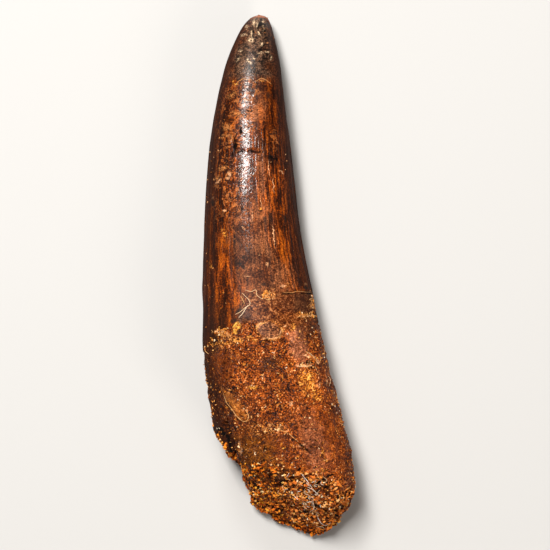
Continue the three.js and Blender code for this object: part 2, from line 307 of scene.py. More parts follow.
rocky = bare * (1 - masks["sandy"])
height = -crown["fluteDepth"] * groove + carina - crown["enamelThickness"] * bare
height += rocky * rough(root)
height += masks["enamel"] * crown["grain"] * latticeNoise(plain, 3, 6)
height += masks["sandy"] * rough(sandyEnd)

cutMask = np.zeros_like(y)
for half, depth, line in cuts:
    profile = np.exp(-((toLine(plain[..., :2] + wobble * 0.4, line) / half) ** 2)) * upper
    height -= depth * profile
    cutMask = np.maximum(cutMask, profile)
for half, rise, line in ridges:
    height += rise * upper * np.exp(-((toLine(topXY, line) / half) ** 2))
for plate in (flake, scale):
    height += plate["height"] * smoothStep(-0.12, 0.3, plate["depth"]) * upper

randomPits = np.random.default_rng(root["pitSeed"])
spots = plain.reshape(-1, 3)
tree = KDTree(len(spots))
for i, spot in enumerate(spots):
    tree.insert(spot, i)
tree.balance()
pitMask = np.zeros(len(spots))
chance = (bare * (1 - 0.6 * masks["sandy"])).ravel() * (0.35 + 0.65 * (latticeNoise(spots, 6, 21) > -0.1))
smallest, largest = root["pitRadius"]
for i in randomPits.choice(len(spots), root["pitCount"], replace=False, p=chance / chance.sum()):
    radius = smallest + (largest - smallest) * randomPits.random() ** 3
    for _, j, far in tree.find_range(spots[i], radius * 2):
        pitMask[j] = max(pitMask[j], math.exp(-((far / radius) ** 2)) * (0.5 + radius))
pitMask = pitMask.reshape(y.shape)
height -= root["pitDepth"] * pitMask * pitMask

formed = plain + outward * (height * unworn)[..., None]
formed[..., 2] = np.maximum(formed[..., 2], 0)
formed += toothShape["shift"]
print("relief: from", round(float(height.min()), 2), "to", round(float(height.max()), 2), "mm")

def patch(atX, atY, halfX, halfY, turn=0, softness=0.35, raggedness=0.35):  # an irregular oval from above
    c, s = math.cos(math.radians(turn)), math.sin(math.radians(turn))
    dx, dy = topXY[..., 0] - atX, topXY[..., 1] - atY
    far = np.hypot((dx * c + dy * s) / halfX, (dy * c - dx * s) / halfY)
    return smoothStep(1 + softness, 1 - softness, far + raggedness * latticeNoise(plain, 1.1, 17)) * upper

places = {  # soft ovals on the upper side: x, y, half width, half height, turn in degrees, softness
    # gaps among the sand grains, where fewer grains lie and painted shade fills the hollows
    "shadedGaps": [
        (9.3, -46.3, 1.4, 0.3, 40), (10.6, -47.6, 1.2, 0.3, 40), (8.6, -48.4, 0.9, 0.3, 40),
        (4.3, -54.6, 1.2, 0.8), (-1.6, -50.5, 0.8, 0.35, 10), (0.5, -46.8, 1.2, 0.35, 15),
        (5.5, -51.6, 0.8, 0.3, 30), (9, -52.3, 0.7, 0.3, -30), (-2.6, -54.4, 0.8, 0.3, -20),
        (3.4, -47.2, 0.7, 0.3, 60), (7.2, -57.3, 0.8, 0.3, -20), (-7.2, -49.6, 2.6, 0.8, -40),
        (-4.4, -53, 2.4, 0.7, -25), (-9, -46.6, 1.3, 0.7, -55), (-5.4, -48, 1.6, 0.5, -20)],
    "wrinkled": [
        (-10.6, 35, 4.4, 12, 4, 0.5), (-11.5, 22, 4.2, 10, 2, 0.5), (-8, 43, 3.4, 3, 0, 0.5),
        (-1.2, 31, 1.6, 2.6, 0, 0.6)],
    # mauve patches: a soft sheen painted as colour on the lower crown, the collar and the right of the root
    "mauve": [
        (-5.6, 7, 4.2, 13, 3, 0.6), (-1.5, -1, 4.6, 4.5, 0, 0.6), (-4, 24, 1.2, 6, 0, 0.6),
        (-6, 38.5, 2.6, 6.5, -8, 0.6), (4.4, -15.4, 2.1, 4.4, 12, 0.5), (3, -6, 3, 2.4, 0, 0.5)],
    "faintMauve": [(8.2, -38, 2.6, 7, 15, 0.6)],
    "stain": [
        (5, -6.4, 1.7, 2.2, 0, 0.4), (-9, -8.6, 2, 2.6, 25, 0.5), (-11, -14, 3, 0.8, 0, 0.5),
        (-14.6, -10.5, 2.6, 5, -8, 0.5), (6.8, -12, 2.2, 2, 0, 0.5), (-10.4, 3.6, 0.7, 3.4, 32, 0.6),
        (-2.2, -19.5, 2.4, 1.6, 20), (4.3, -54.8, 1.4, 1.1, 0, 0.4)],
    "crust": [
        (-2.2, -3.9, 1.6, 1.1), (7.3, -5.8, 0.8, 2.2, 10), (5.8, -9, 2.2, 0.5, -12),
        (-15.4, -15.2, 1, 0.7, 30), (-10, -14.4, 1.8, 0.9, -5), (-14.4, -16.4, 2, 0.8, 25),
        (-1, -33.8, 2.6, 0.8, -12), (1.6, -2.1, 0.8, 0.4, 10), (-3.2, -34.2, 3.4, 1.4, -8)],
    "olive": [(-5.6, -41, 4.6, 6, 10, 0.6), (1, -45.4, 4.6, 2.4, 0, 0.6)],
    "calm": [
        (-5, -40, 6, 5.5, 0, 0.6), (9.5, -36, 4.5, 9, 12, 0.6), (2, -44, 7, 3, 0, 0.5),
        (-13, -20, 2.5, 4, 0, 0.5)],
    "dull": [(-7, 37.2, 3.2, 1.3)],
    "manyCrumbs": [
        (-1.2, -42, 2, 2.2), (10, -44.6, 2.2, 1.8), (9.6, -39, 0.7, 2), (-2.4, -4, 1.2, 0.7),
        (5.4, -44.6, 1.2, 1), (3, -38.5, 1, 0.8)],
    "someCrumbs": [(-13.9, -38.4, 1.2, 2.2, -25), (6.5, -24.5, 2, 2.6), (8, -5.7, 0.6, 2)],
    "fewCrumbs": [(-3.4, -34.2, 3.4, 1.2), (-13, -12.9, 2, 1, 20)],
}
paintedLightAndShade = {  # painted light and shade: the first list lightens the colours as painted light and sheen, the second darkens them as painted shade; each entry is a share, then an oval as above
    "paintedLight": [
        (0.4, -2.6, 18, 2.2, 11, 5, 0.6), (0.3, -4.6, 36, 2.2, 5, 0, 0.6), (0.45, 4.6, -16, 3, 6, 12, 0.6),
        (0.5, 7.6, -23, 3, 8, 15, 0.6), (0.25, 11.5, -48, 3.8, 7, 10, 0.6), (0.25, 3, -7, 3.4, 3, 0, 0.6),
        (0.35, -15, -1, 2.2, 7, 0, 0.6), (0.3, -13, 4, 2, 3, 0, 0.6), (0.35, 3, -57.5, 6, 2.4, -20, 0.6)],
    "paintedShade": [
        (0.5, -9, -41, 6, 8, 15, 0.6), (0.28, -3, -40, 5, 9, 0, 0.6), (0.36, -8, 6, 5.6, 2.8, 0, 0.6),
        (0.3, -6.6, -1.3, 4.4, 2.2, 0, 0.6), (0.3, -3.8, 41.4, 3.6, 2.6, 0, 0.6),
        (0.14, -11, 34, 2, 10, -8, 0.6), (0.45, -6.4, -50.6, 3, 3.4, -30, 0.6)],
    # painted shade on the left and right sides of the crown near the tip, and on the left side of the tooth
    "tipLeftShade": 0.18, "tipRightShade": 0.38, "shade": 0.48,
}

streak = {"leftBy": 0.6, "drift": 1.3, "halfWidth": 2.9, "fromY": 13, "fullY": 20}  # the glossy strip

def patches(ovals):
    return np.max([patch(*oval) for oval in ovals], axis=0)

# the share of one list of painted light and shade at each point
def toned(kind):
    return np.max([share * patch(*oval) for share, *oval in paintedLightAndShade[kind]], axis=0)

aside = (x - centreX) / halfWidth
across = np.abs(aside)
shadedGaps = patches(places["shadedGaps"])
masks.update({name: patches(places[name]) for name in ("stain", "crust", "olive", "calm")})
masks.update({
    "fluted": (fluted * (1 - 0.93 * smoothMiddle)
               * (1 - 0.8 * upper * smoothStep(-8, -10, x) * smoothStep(7, 3, y))),
    # cracks, pits and gaps, painted near black as shade in the hollows
    "cut": np.clip(cutMask + pitMask * pitMask + shadedGaps, 0, 1),
    "wrinkled": patches(places["wrinkled"]) * masks["enamel"],
    "mauve": np.maximum(patches(places["mauve"]), 0.7 * patches(places["faintMauve"])),
    # painted shadow in a ring just outside the raised flake
    "moat": smoothStep(-1.1, -0.6, flake["depth"]) * smoothStep(-0.05, -0.3, flake["depth"]) * upper,
    "rim": np.maximum(flake["rim"], scale["rim"]),
    "plate": flake["inside"],
    "scale": scale["inside"],
    "apex": (smoothStep(0.32, 0.2, np.abs(outward[..., 2] - 0.17)) * smoothStep(57.6, 58.4, y)
             * smoothStep(-6.6, -5.8, x)),
    "glinting": (np.maximum(bare * 0.9, smoothStep(2, 18, y) * smoothStep(0.7, 0.35, across)) * upper
                 * smoothStep(0.9, 0.7, across)),
    "tipEdge": smoothStep(0.3, 0.8, across + 0.3 * latticeNoise(plain, 2, 27)),
    # painted shade on the flanks, stronger on the left; the flanks are also made rougher
    "flank": (smoothStep(0.66, 0.95, across) * (1 - masks["sandy"])
              * np.where(x < centreX, 1, 0.35 + 0.6 * masks["enamel"])),
})
# painted shade on the left side of the root and crown, stronger away from the middle and on the bare root
shade = smoothStep(0.4, 0.85, across + 0.2 * latticeNoise(plain, 3, 29)) * (0.45 + 0.55 * bare)
shade *= (1 - masks["sandy"]) * (1 - masks["tipPart"]) * (x < centreX)
# painted shade on both sides of the crown towards the tip, stronger on the right
nearTip = smoothStep(24, 30, y) * upper
tipShade = paintedLightAndShade["tipLeftShade"] * smoothStep(0.2, 0.8, -aside) + paintedLightAndShade["tipRightShade"] * smoothStep(0.1, 0.7, aside)
# all the painted light and shade, as one factor on the colours
masks["tone"] = ((1 - paintedLightAndShade["shade"] * shade) * (1 + toned("paintedLight")) * (1 - toned("paintedShade"))
                 * (1 - tipShade * nearTip))
streakX = x - centreX + streak["leftBy"] - streak["drift"] * smoothStep(24, 30, y)
masks["gloss"] = (smoothStep(streak["fromY"], streak["fullY"], y + 2.5 * latticeNoise(plain, 3, 23))
                  * (1 - 0.4 * smoothStep(45, 49, y)) * upper
                  * (0.02 + 0.98 * np.exp(-(streakX / streak["halfWidth"]) ** 4))
                  * (1 - 0.25 * smoothStep(26, 32, y)) * (1 - 0.95 * patches(places["dull"])))

def bodyMesh(rows):
    rowCount, columnCount, _ = rows.shape
    tip = rows[0].mean(axis=0) + (0, toothShape["apexRise"], 0)
    end = rows[-1].mean(axis=0)
    points = np.vstack([rows.reshape(-1, 3), tip, end]) * mm
    column = np.arange(columnCount)
    after = (column + 1) % columnCount
    base = np.arange(rowCount - 1)[:, None] * columnCount
    below = base + columnCount
    quads = np.stack([base + column, base + after, below + after, below + column], -1).reshape(-1, 4)
    last = (rowCount - 1) * columnCount
    tipFaces = np.stack([np.full(columnCount, rowCount * columnCount), after, column], -1)
    endFaces = np.stack([np.full(columnCount, rowCount * columnCount + 1), last + column, last + after], -1)
    mesh = bpy.data.meshes.new("toothBody")
    mesh.from_pydata(points.tolist(), [], quads.tolist() + tipFaces.tolist() + endFaces.tolist())
    mesh.validate()
    mesh.shade_smooth()
    return mesh

def storeMask(mesh, name, values):
    masks[name] = values
    layer = mesh.attributes.new(name, "FLOAT", "POINT")
    ends = [values[0].mean(), values[-1].mean()]
    layer.data.foreach_set("value", np.concatenate([values.ravel(), ends]).astype(np.float32))

def bodyMap(mesh, rows):  # u runs round the tooth and v along it, with one seam
    rowCount, columnCount, _ = rows.shape
    steps = np.linalg.norm(np.diff(rows, axis=0), axis=-1).mean(axis=1)
    v = 0.01 + 0.98 * np.concatenate([[0], np.cumsum(steps)]) / steps.sum()
    u = np.arange(columnCount + 1) / columnCount
    corners = []
    for row, column in ((0, 0), (0, 1), (1, 1), (1, 0)):
        across = np.broadcast_to(u[column:column + columnCount], (rowCount - 1, columnCount))
        down = np.broadcast_to(v[row:row + rowCount - 1, None], (rowCount - 1, columnCount))
        corners.append(np.stack([across, down], -1))
    quads = np.stack(corners, 2).reshape(-1, 2)
    left, right = u[:-1], u[1:]
    middle = (left + right) / 2
    def fan(order, pole, ring):
        level = [np.full(columnCount, rise) for rise in (pole, ring, ring)]
        return np.stack([np.stack(pair, -1) for pair in zip(order, level)], 1).reshape(-1, 2)
    spread = np.vstack([quads, fan((middle, right, left), 0.0, v[0]), fan((middle, left, right), 1.0, v[-1])])
    mesh.uv_layers.new(name="OFBake").data.foreach_set("uv", spread.astype(np.float32).ravel())

bodyData = bodyMesh(formed)
bodyMap(bodyData, formed)
for name in list(masks):
    storeMask(bodyData, name, masks[name])
layer = bodyData.attributes.new("fluteSpot", "FLOAT_VECTOR", "POINT")
ends = [fluteSpot[0].mean(axis=0), fluteSpot[-1].mean(axis=0)]
layer.data.foreach_set("vector", np.vstack([fluteSpot.reshape(-1, 3), ends]).astype(np.float32).ravel())
body = bpy.data.objects.new("toothBody", bodyData)
bpy.context.scene.collection.objects.link(body)
print("body:", len(bodyData.polygons), "faces")

def nodeMaker(tree):
    def add(kind, inputs=(), **settings):
        node = tree.nodes.new(kind)
        for key, value in settings.items():
            setattr(node, key, value)
        for key, value in dict(inputs).items():
            if isinstance(value, bpy.types.NodeSocket):
                tree.links.new(value, node.inputs[key])
            else:
                node.inputs[key].default_value = value
        return node
    return add

markWobble = 0.9  # how far the noise moves the outline of a mark, in millimetres
farOff = 99.0

def materialKit(name):
    material = bpy.data.materials.new(name)
    material.use_nodes = True
    tree = material.node_tree
    tree.nodes.clear()
    add = nodeMaker(tree)
    surface = add("ShaderNodeBsdfPrincipled")
    add("ShaderNodeOutputMaterial", {"Surface": surface.outputs[0]})
    inMetres = add("ShaderNodeTexCoord").outputs["Object"]
    place = add("ShaderNodeVectorMath", {0: inMetres, "Scale": 1 / mm}, operation="SCALE").outputs[0]

    class kit:
        pass

    def number(kind, a, b=0.0):
        return add("ShaderNodeMath", {0: a, 1: b}, operation=kind).outputs[0]

    def times(a, b):
        return number("MULTIPLY", a, b)

    def oneMinus(a):
        return number("SUBTRACT", 1.0, a)

    def larger(a, b):
        return number("MAXIMUM", a, b)

    def span(value, low, high, toLow=0.0, toHigh=1.0, kind="SMOOTHSTEP"):
        inputs = {"Value": value, "From Min": low, "From Max": high, "To Min": toLow, "To Max": toHigh}
        return add("ShaderNodeMapRange", inputs, interpolation_type=kind).outputs[0]

    def noise(size, detail=3.0, rough=0.55, warp=0.0, where=None):
        inputs = {"Vector": where or place, "Scale": 1 / size, "Detail": detail}
        return add("ShaderNodeTexNoise", {**inputs, "Roughness": rough, "Distortion": warp}).outputs["Fac"]

    def flecks(size, share):  # small round spots in some of the cells of a random pattern
        spots = add("ShaderNodeTexVoronoi", {"Vector": place, "Scale": 1 / size})
        chosen = span(spots.outputs["Color"], 1 - share, 1.04 - share)
        return times(span(spots.outputs["Distance"], 0.32, 0.12), chosen)

    def vector(kind, *inputs):
        return add("ShaderNodeVectorMath", dict(enumerate(inputs)), operation=kind)

    def marked(ovals, softness=0.3):  # 1 inside any of the ovals (x, y, half sizes, turn), seen from above
        shaken = add("ShaderNodeTexNoise", {"Vector": place, "Scale": 1.2, "Detail": 2.0}).outputs["Color"]
        near = vector("MULTIPLY_ADD", shaken, (markWobble, markWobble, 0), place).outputs[0]
        shiftX, shiftY = (toothShape["shift"][i] + markWobble / 2 for i in (0, 1))
        nearest = farOff
        for x, y, halfX, halfY, *tilt in ovals:
            turn = sum(tilt)
            c, s = math.cos(math.radians(turn)), math.sin(math.radians(turn))
            acrossX, acrossY, alongX, alongY = c / halfX, s / halfX, -s / halfY, c / halfY
            x, y = x + shiftX, y + shiftY
            if turn:
                across = vector("DOT_PRODUCT", near, (acrossX, acrossY, 0)).outputs["Value"]
                along = vector("DOT_PRODUCT", near, (alongX, alongY, 0)).outputs["Value"]
                turned = add("ShaderNodeCombineXYZ", {0: across, 1: along}).outputs[0]
                centre = (x * acrossX + y * acrossY, x * alongX + y * alongY, 0)
                local = vector("SUBTRACT", turned, centre)
            else:
                local = vector("MULTIPLY_ADD", near, (1 / halfX, 1 / halfY, 0), (-x / halfX, -y / halfY, 0))
            far = vector("LENGTH", local.outputs[0]).outputs["Value"]
            nearest = number("MINIMUM", far, nearest)
        return times(span(nearest, 1 + softness, 1 - softness), mask("upper"))

    def ringed(oval, reach):  # 1 within about that reach of the oval's outline
        x, y, halfX, halfY, turn = oval
        big, small = [(x, y, halfX + side * reach, halfY + side * reach, turn) for side in (1, -1)]
        return times(marked([big], 0.06), oneMinus(marked([small], 0.06)))

    def mask(attribute):
        return add("ShaderNodeAttribute", attribute_name=attribute).outputs["Fac"]

    def spot(attribute):
        return add("ShaderNodeAttribute", attribute_name=attribute).outputs["Vector"]

    def split(value):  # its x, y and z
        return add("ShaderNodeSeparateXYZ", {0: value}).outputs

    def aroundAngle(attribute):  # the angle of a point's x and y, in radians
        parts = split(spot(attribute))
        return number("ARCTAN2", parts[1], parts[0])

    def tint(factor, a, b):
        node = add("ShaderNodeMix", data_type="RGBA")
        for index, value in ((0, factor), (6, a), (7, b)):
            if isinstance(value, bpy.types.NodeSocket):
                tree.links.new(value, node.inputs[index])
            else:
                node.inputs[index].default_value = (*value, 1) if index else value
        return node.outputs[2]

    def scaled(colour, factor):
        return add("ShaderNodeVectorMath", {0: colour, "Scale": factor}, operation="SCALE").outputs[0]

    def ramp(value, colours, **places):  # named colours at their places from 0 to 1
        return stepped(value, [(position, colours[name]) for name, position in places.items()])

    def stepped(value, stops):
        node = add("ShaderNodeValToRGB", {"Fac": value})
        elements = node.color_ramp.elements
        while len(elements) < len(stops):
            elements.new(0.5)
        for element, (position, colour) in zip(elements, stops):
            element.position, element.color = position, (*colour, 1)
        return node.outputs["Color"]

    def bump(height, distance, below=None):
        inputs = {"Height": height, "Distance": distance * mm, "Strength": 1.0}
        if below:
            inputs["Normal"] = below
        return add("ShaderNodeBump", inputs).outputs[0]

    def blend(*parts):  # adds up how far each value is from a half, times its weight
        total = 0.5
        for value, weight in parts:
            total = number("ADD", times(number("SUBTRACT", value, 0.5), weight), total)
        return total

    def link(output, socket):
        tree.links.new(output, surface.inputs[socket])

    for tool in (number, times, oneMinus, larger, span, noise, flecks, marked, ringed, mask, spot, split,
                 aroundAngle, tint, scaled, ramp, stepped, bump, blend, link):
        setattr(kit, tool.__name__, staticmethod(tool))
    kit.material, kit.surface, kit.place = material, surface, place
    return kit

enamelColours = {
    "black": (0.003, 0.001, 0.0004), "dark": (0.024, 0.005, 0.001), "brown": (0.085, 0.016, 0.0022),
    "orange": (0.2, 0.034, 0.002), "bright": (0.42, 0.09, 0.006), "pale": (0.7, 0.33, 0.15),
    "mauveDark": (0.055, 0.015, 0.006), "mauve": (0.165, 0.05, 0.018), "mauvePale": (0.34, 0.12, 0.046),
    "tipDark": (0.014, 0.008, 0.005), "tip": (0.062, 0.031, 0.018), "tipPale": (0.18, 0.09, 0.05),
    "warmTip": (0.055, 0.014, 0.004), "warmTipPale": (0.17, 0.042, 0.008), "cream": (0.8, 0.55, 0.32),
    "rim": (0.55, 0.12, 0.01), "crest": (0.43, 0.135, 0.034), "worn": (0.52, 0.19, 0.05),
    "collar": (0.25, 0.072, 0.017), "collarPale": (0.6, 0.26, 0.1), "scaleDark": (0.12, 0.034, 0.012),
    "scale": (0.28, 0.092, 0.03), "scaleEdge": (0.7, 0.3, 0.08), "spot": (0.012, 0.008, 0.006),
}
rootColours = {
    "black": (0.005, 0.0015, 0.0006), "brown": (0.08, 0.0145, 0.0015), "rust": (0.235, 0.043, 0.0035),
    "bright": (0.56, 0.125, 0.009), "pale": (0.84, 0.46, 0.2), "crust": (0.58, 0.19, 0.03),
    "mauve": (0.24, 0.075, 0.032), "mauvePale": (0.46, 0.18, 0.09), "crumb": (0.72, 0.27, 0.045),
    "oliveDark": (0.06, 0.014, 0.001), "olive": (0.2, 0.055, 0.003), "olivePale": (0.46, 0.15, 0.01),
    "plate": (0.33, 0.08, 0.008), "platePale": (0.6, 0.2, 0.03), "stain": (0.03, 0.011, 0.005),
    "ochre": (0.56, 0.2, 0.018), "ochrePale": (0.76, 0.4, 0.1), "yellow": (0.55, 0.22, 0.025),
    "yellowPale": (0.8, 0.42, 0.07), "crack": (0.002, 0.001, 0.0005),
}
sandColours = {"black": (0.002, 0.001, 0.0005), "brown": (0.05, 0.011, 0.002), "orange": (0.3, 0.06, 0.006),
               "ochre": (0.6, 0.22, 0.02)}
strength = {  # how strongly each layer of colour covers what is under it
    "crownMauve": 0.75, "collarMauve": 0.6, "rootMauve": 0.88, "olive": 0.75, "fluteLines": 0.9,
    "creaseShading": 0.85, "crestHighlights": 0.75, "worn": 0.85, "crownFlecks": 0.6, "darkGrain": 0.85, "crustFlecks": 0.8,
    "paleFlecksAndGlints": 0.9, "plate": 0.8, "stain": 0.6, "flank": 0.8, "spots": 0.8, "cracks": 0.97,
}
bumpDepth = {  # in millimetres
    "wrinkles": 0.045, "crownSpecks": 0.03, "fluteLines": 0.06, "tip": 0.08, "rootGrain": 0.4,
    "rootFlecks": 0.12, "sand": 0.5,
}
sheen = {
    "specular": 0.09, "coatRoughness": 0.15, "glints": 0.32, "roughness": 0.5, "smoothSpecks": 0.32,
    "mauveRoughness": 0.55, "sandRoughness": 0.85,
}
marks = {  # small marks on the upper side: x, y, half width, half height, and a turn in degrees
    # slits painted near black as shade
    "shadedSlits": [
        (-9.95, 29.5, 0.42, 0.95), (-8.95, 28.25, 0.95, 0.2), (-10.6, 27.85, 0.2, 0.4),
        (-6.1, 28.35, 0.45, 0.36), (-5.4, 28.2, 1.2, 0.2), (-1.7, 27, 0.42, 0.35), (-0.5, 26.7, 0.25, 0.35),
        (-8.7, 33, 0.35, 0.8), (-6.6, 37.5, 0.8, 0.12), (-13.3, -34.6, 0.9, 0.5, -20),
        (-12.2, -35.8, 1.2, 0.45, -40), (-11.2, -37.5, 0.35, 1.6, 10), (-10.8, -39.6, 0.25, 1.5, 12),
        (-13.9, -36, 0.4, 0.8), (5.6, -38.4, 1.6, 0.16, -40), (7.2, -19.5, 0.6, 0.16),
        (8, -20.6, 0.9, 0.16), (4.2, -54.6, 1.1, 0.8, -10), (10.4, -43.6, 0.8, 0.3, 20),
        (11.4, -44.8, 1, 0.3, 15), (10, -45.8, 0.7, 0.3, 20)],
    "spots": [
        (-8.3, 15.4, 0.4, 0.45), (-4.45, 14.85, 0.45, 0.3), (-1.8, 13.2, 0.32, 1.2, 3),
        (-3.1, 12.8, 0.22, 0.9), (1.3, 12.9, 0.25, 1.1), (-7.5, 11.5, 1.1, 0.16, -4),
        (-10.2, 11.7, 0.15, 0.8), (-10.05, 8, 0.3, 1.4), (-8, 4.3, 0.3, 0.5), (-8.9, 2.9, 0.25, 0.8),
        (-8, 2.05, 0.35, 0.6), (-3.5, -1.8, 0.6, 0.35), (-12.3, 18.9, 0.3, 0.5), (-15.1, 17, 0.35, 1),
        (-2, 27.3, 1.5, 0.14), (-1.3, 32.4, 1, 0.25), (-9, -7.8, 0.7, 0.4, 20), (-10.2, -10, 0.9, 0.4, 30),
        (6.2, -2.6, 0.6, 0.3), (-2.4, 41.2, 0.5, 0.7)],
    "worn": [
        (-11.8, 33.85, 1, 0.7), (-12.2, 31.9, 1.1, 0.5, 20), (-10.9, 31.2, 0.4, 0.9),
        (-9.6, 37, 1.2, 0.5, -10), (-12.9, 24.5, 1, 0.5, 20), (-10.8, 41.2, 0.9, 0.5, 30),
        (-14.2, 22.4, 0.8, 0.4, 30), (-7.4, 40.1, 0.9, 0.4)],
    # pale marks: on the crown painted highlights and glints, thin ones along the flutes; on the root pale
    # crumbs and edges
    "pale": [
        (-8, 10.95, 0.5, 0.22, -30), (-1.2, 8.95, 0.1, 2.5, 6), (-1.3, 20.8, 0.08, 1.5, 5),
        (-2.3, 24.7, 0.08, 1.6, 4), (-6.1, 13.6, 0.09, 1.4), (-4.1, 16.8, 0.07, 1.5, 3),
        (-7.2, 0.05, 0.7, 0.15), (1, -2.2, 0.6, 0.22, 10), (-2.7, 2.7, 0.28, 0.5, 20),
        (6.1, -1.8, 0.28, 0.28), (-11.2, 23.2, 0.35, 0.6, 30), (-11.6, 22.2, 0.35, 0.3),
        (-13.9, 21.6, 0.75, 0.2, 45), (0.6, 23.7, 0.6, 0.15, -35), (-12.3, 14.9, 0.35, 0.3),
        (-15.1, 17.8, 0.2, 0.3), (-8.9, -37.7, 0.2, 0.7, 5), (-8.5, -39.5, 0.22, 0.8, -5),
        (5.2, -37.9, 0.8, 0.2, 20), (8.6, -19, 0.3, 0.9, 40), (-14.2, -12.6, 0.4, 0.3, 20),
        (-12.7, -12.4, 0.5, 0.3), (-11.6, -13, 0.4, 0.4), (-2, -13.9, 1.8, 0.16, 3),
        (-4.6, -10.9, 0.7, 0.2, 35), (0.3, -12.7, 0.2, 0.7, -20), (6.4, -18, 0.8, 0.25, -20),
        (5.6, -20.2, 1.6, 0.2), (9.2, -24.6, 0.25, 0.5), (2.6, -28.6, 0.5, 0.3, 60), (10.9, -24, 0.2, 0.7)],
    "scaleEdge": [(-4.5, -11, 1.5, 0.9, 20), (-0.6, -14, 2, 0.7, 5), (0.9, -12, 0.6, 0.7)],
    "crumbly": [
        (-16.2, -15.9, 0.6, 0.35, 25), (-14.6, -15.4, 0.8, 0.35, 30), (-13.2, -14.9, 0.7, 0.35, 20),
        (-11.6, -15.2, 0.8, 0.3), (-14.4, -12.6, 0.4, 0.3), (-13.6, -12, 0.35, 0.3, 20),
        (-12.8, -12.3, 0.45, 0.35), (-12, -12, 0.4, 0.25, 30), (-13.2, -13.2, 0.4, 0.3),
        (-12.3, -13.4, 0.5, 0.3, -20), (-14, -13.6, 0.35, 0.3), (-11.2, -13.2, 0.4, 0.35),
        (-15.2, -14.3, 0.5, 0.3, 30), (-6.6, -13.6, 0.7, 0.25, 10), (-5.4, -14.4, 0.5, 0.25, -10),
        (7.9, -5.7, 0.4, 2.2, 6), (6.3, -8.7, 1.7, 0.28, -8), (8.3, -3.6, 0.6, 0.4), (-3, -3.9, 0.5, 0.6),
        (-15.7, -15.6, 0.9, 0.4, 30), (-9.6, -14.5, 1.3, 0.5), (-13.9, -38.2, 0.7, 1, -25),
        (-12.6, -41, 0.8, 0.5, -40), (3.2, -11.5, 0.5, 0.7)],
    "clusters": [
        (-2.5, -41.7, 0.3, 0.2), (-1.7, -42.4, 0.4, 0.3), (-0.7, -41.5, 0.4, 0.3), (-0.2, -42.5, 0.3, 0.3),
        (0.5, -43.5, 0.3, 0.3), (-2.9, -43.3, 0.4, 0.2), (-4.5, -43.9, 0.4, 0.3), (1, -38, 0.7, 0.4),
        (-2.9, -39.2, 0.3, 0.2), (4, -40.2, 0.3, 0.3), (8.7, -38.2, 0.3, 0.3), (9.9, -41.3, 0.8, 0.2),
        (9.7, -43.9, 1.3, 0.5, 10), (9.1, -44.7, 0.7, 0.4), (5.6, -44.7, 0.3, 0.3), (-8.2, -39.2, 0.3, 0.3),
        (-9, -38, 0.2, 1), (-2.6, -34, 2.6, 0.7, -10), (0.4, -33.6, 0.8, 0.8), (-3.4, -29.6, 0.8, 0.5, 20),
        (5.6, -20.3, 1.4, 0.3), (7.6, -18.4, 0.9, 0.5, -20), (-6, -25, 0.8, 0.3), (-5.4, -23.4, 0.5, 0.4)],
    "yellow": [
        (-9.6, -11.4, 0.75, 1.15, -25), (-9.9, -12.5, 0.5, 0.5), (-6, -25, 0.7, 0.25),
        (6.2, -53.6, 0.7, 0.35, -30)],
    "ochre": [
        (6.2, -23.6, 1.7, 2.6, 10), (8.4, -26.6, 1, 1.6, 40), (-6, -25, 1.2, 0.4), (10, -40, 0.25, 1.6, 20),
        (10.6, -41.4, 0.6, 0.25), (-12.45, 9.9, 0.6, 0.85, 20), (-4.1, 15.35, 0.45, 0.22),
        (-15.6, 2.4, 0.35, 0.9, 20), (-16.1, 24.9, 0.22, 0.9), (-10, 44.05, 0.5, 0.7, 30),
        (-4.3, 44.4, 0.8, 0.12, 5), (-4, -24.8, 0.5, 0.3)],
    "tipBlack": [
        (-4.1, 59.1, 0.2, 0.5), (-4.3, 57.8, 0.5, 0.5), (-3.45, 57.9, 0.5, 0.25), (-3.8, 56.9, 0.3, 0.5),
        (-3.3, 56.3, 0.3, 0.3), (-4.8, 57.2, 0.18, 0.6), (-3.5, 52.7, 0.4, 0.2), (-2.9, 51.85, 0.6, 0.18),
        (-2.7, 50.7, 0.18, 0.5, 20), (-4.3, 51.8, 0.5, 0.28), (-6.9, 52.2, 0.22, 0.3),
        (-8.1, 55.9, 0.3, 0.2), (-9.8, 49.4, 0.3, 0.18), (-3, 54.6, 0.7, 0.2, 30), (-5.9, 56, 0.2, 0.4),
        (-3, 49.6, 0.8, 0.16, -20)],
    # painted glints on the tip
    "tipGlints": [
        (-5.8, 58.2, 0.25, 0.8), (-5, 57.9, 0.22, 0.8), (-3.7, 58.5, 0.25, 0.35), (-3.6, 57, 0.18, 0.6),
        (-4.55, 55.7, 0.22, 0.5, 30), (-6.4, 54, 0.45, 0.6), (-6.3, 55.6, 0.18, 0.5), (-4, 53.1, 0.3, 0.4),
        (-4.15, 51, 0.45, 0.22), (-2.75, 51.25, 0.35, 0.2), (-9.45, 49.5, 0.2, 0.55, -35),
        (-8.75, 51.6, 0.35, 0.18), (-8.1, 55.3, 0.6, 0.25), (-7.4, 57.3, 0.3, 0.45), (-1.8, 50, 0.2, 0.5),
        (-6.65, 48.7, 0.5, 0.28, -20), (-5.7, 49.6, 0.28, 0.25), (-7.2, 49.4, 0.18, 0.25)],
}

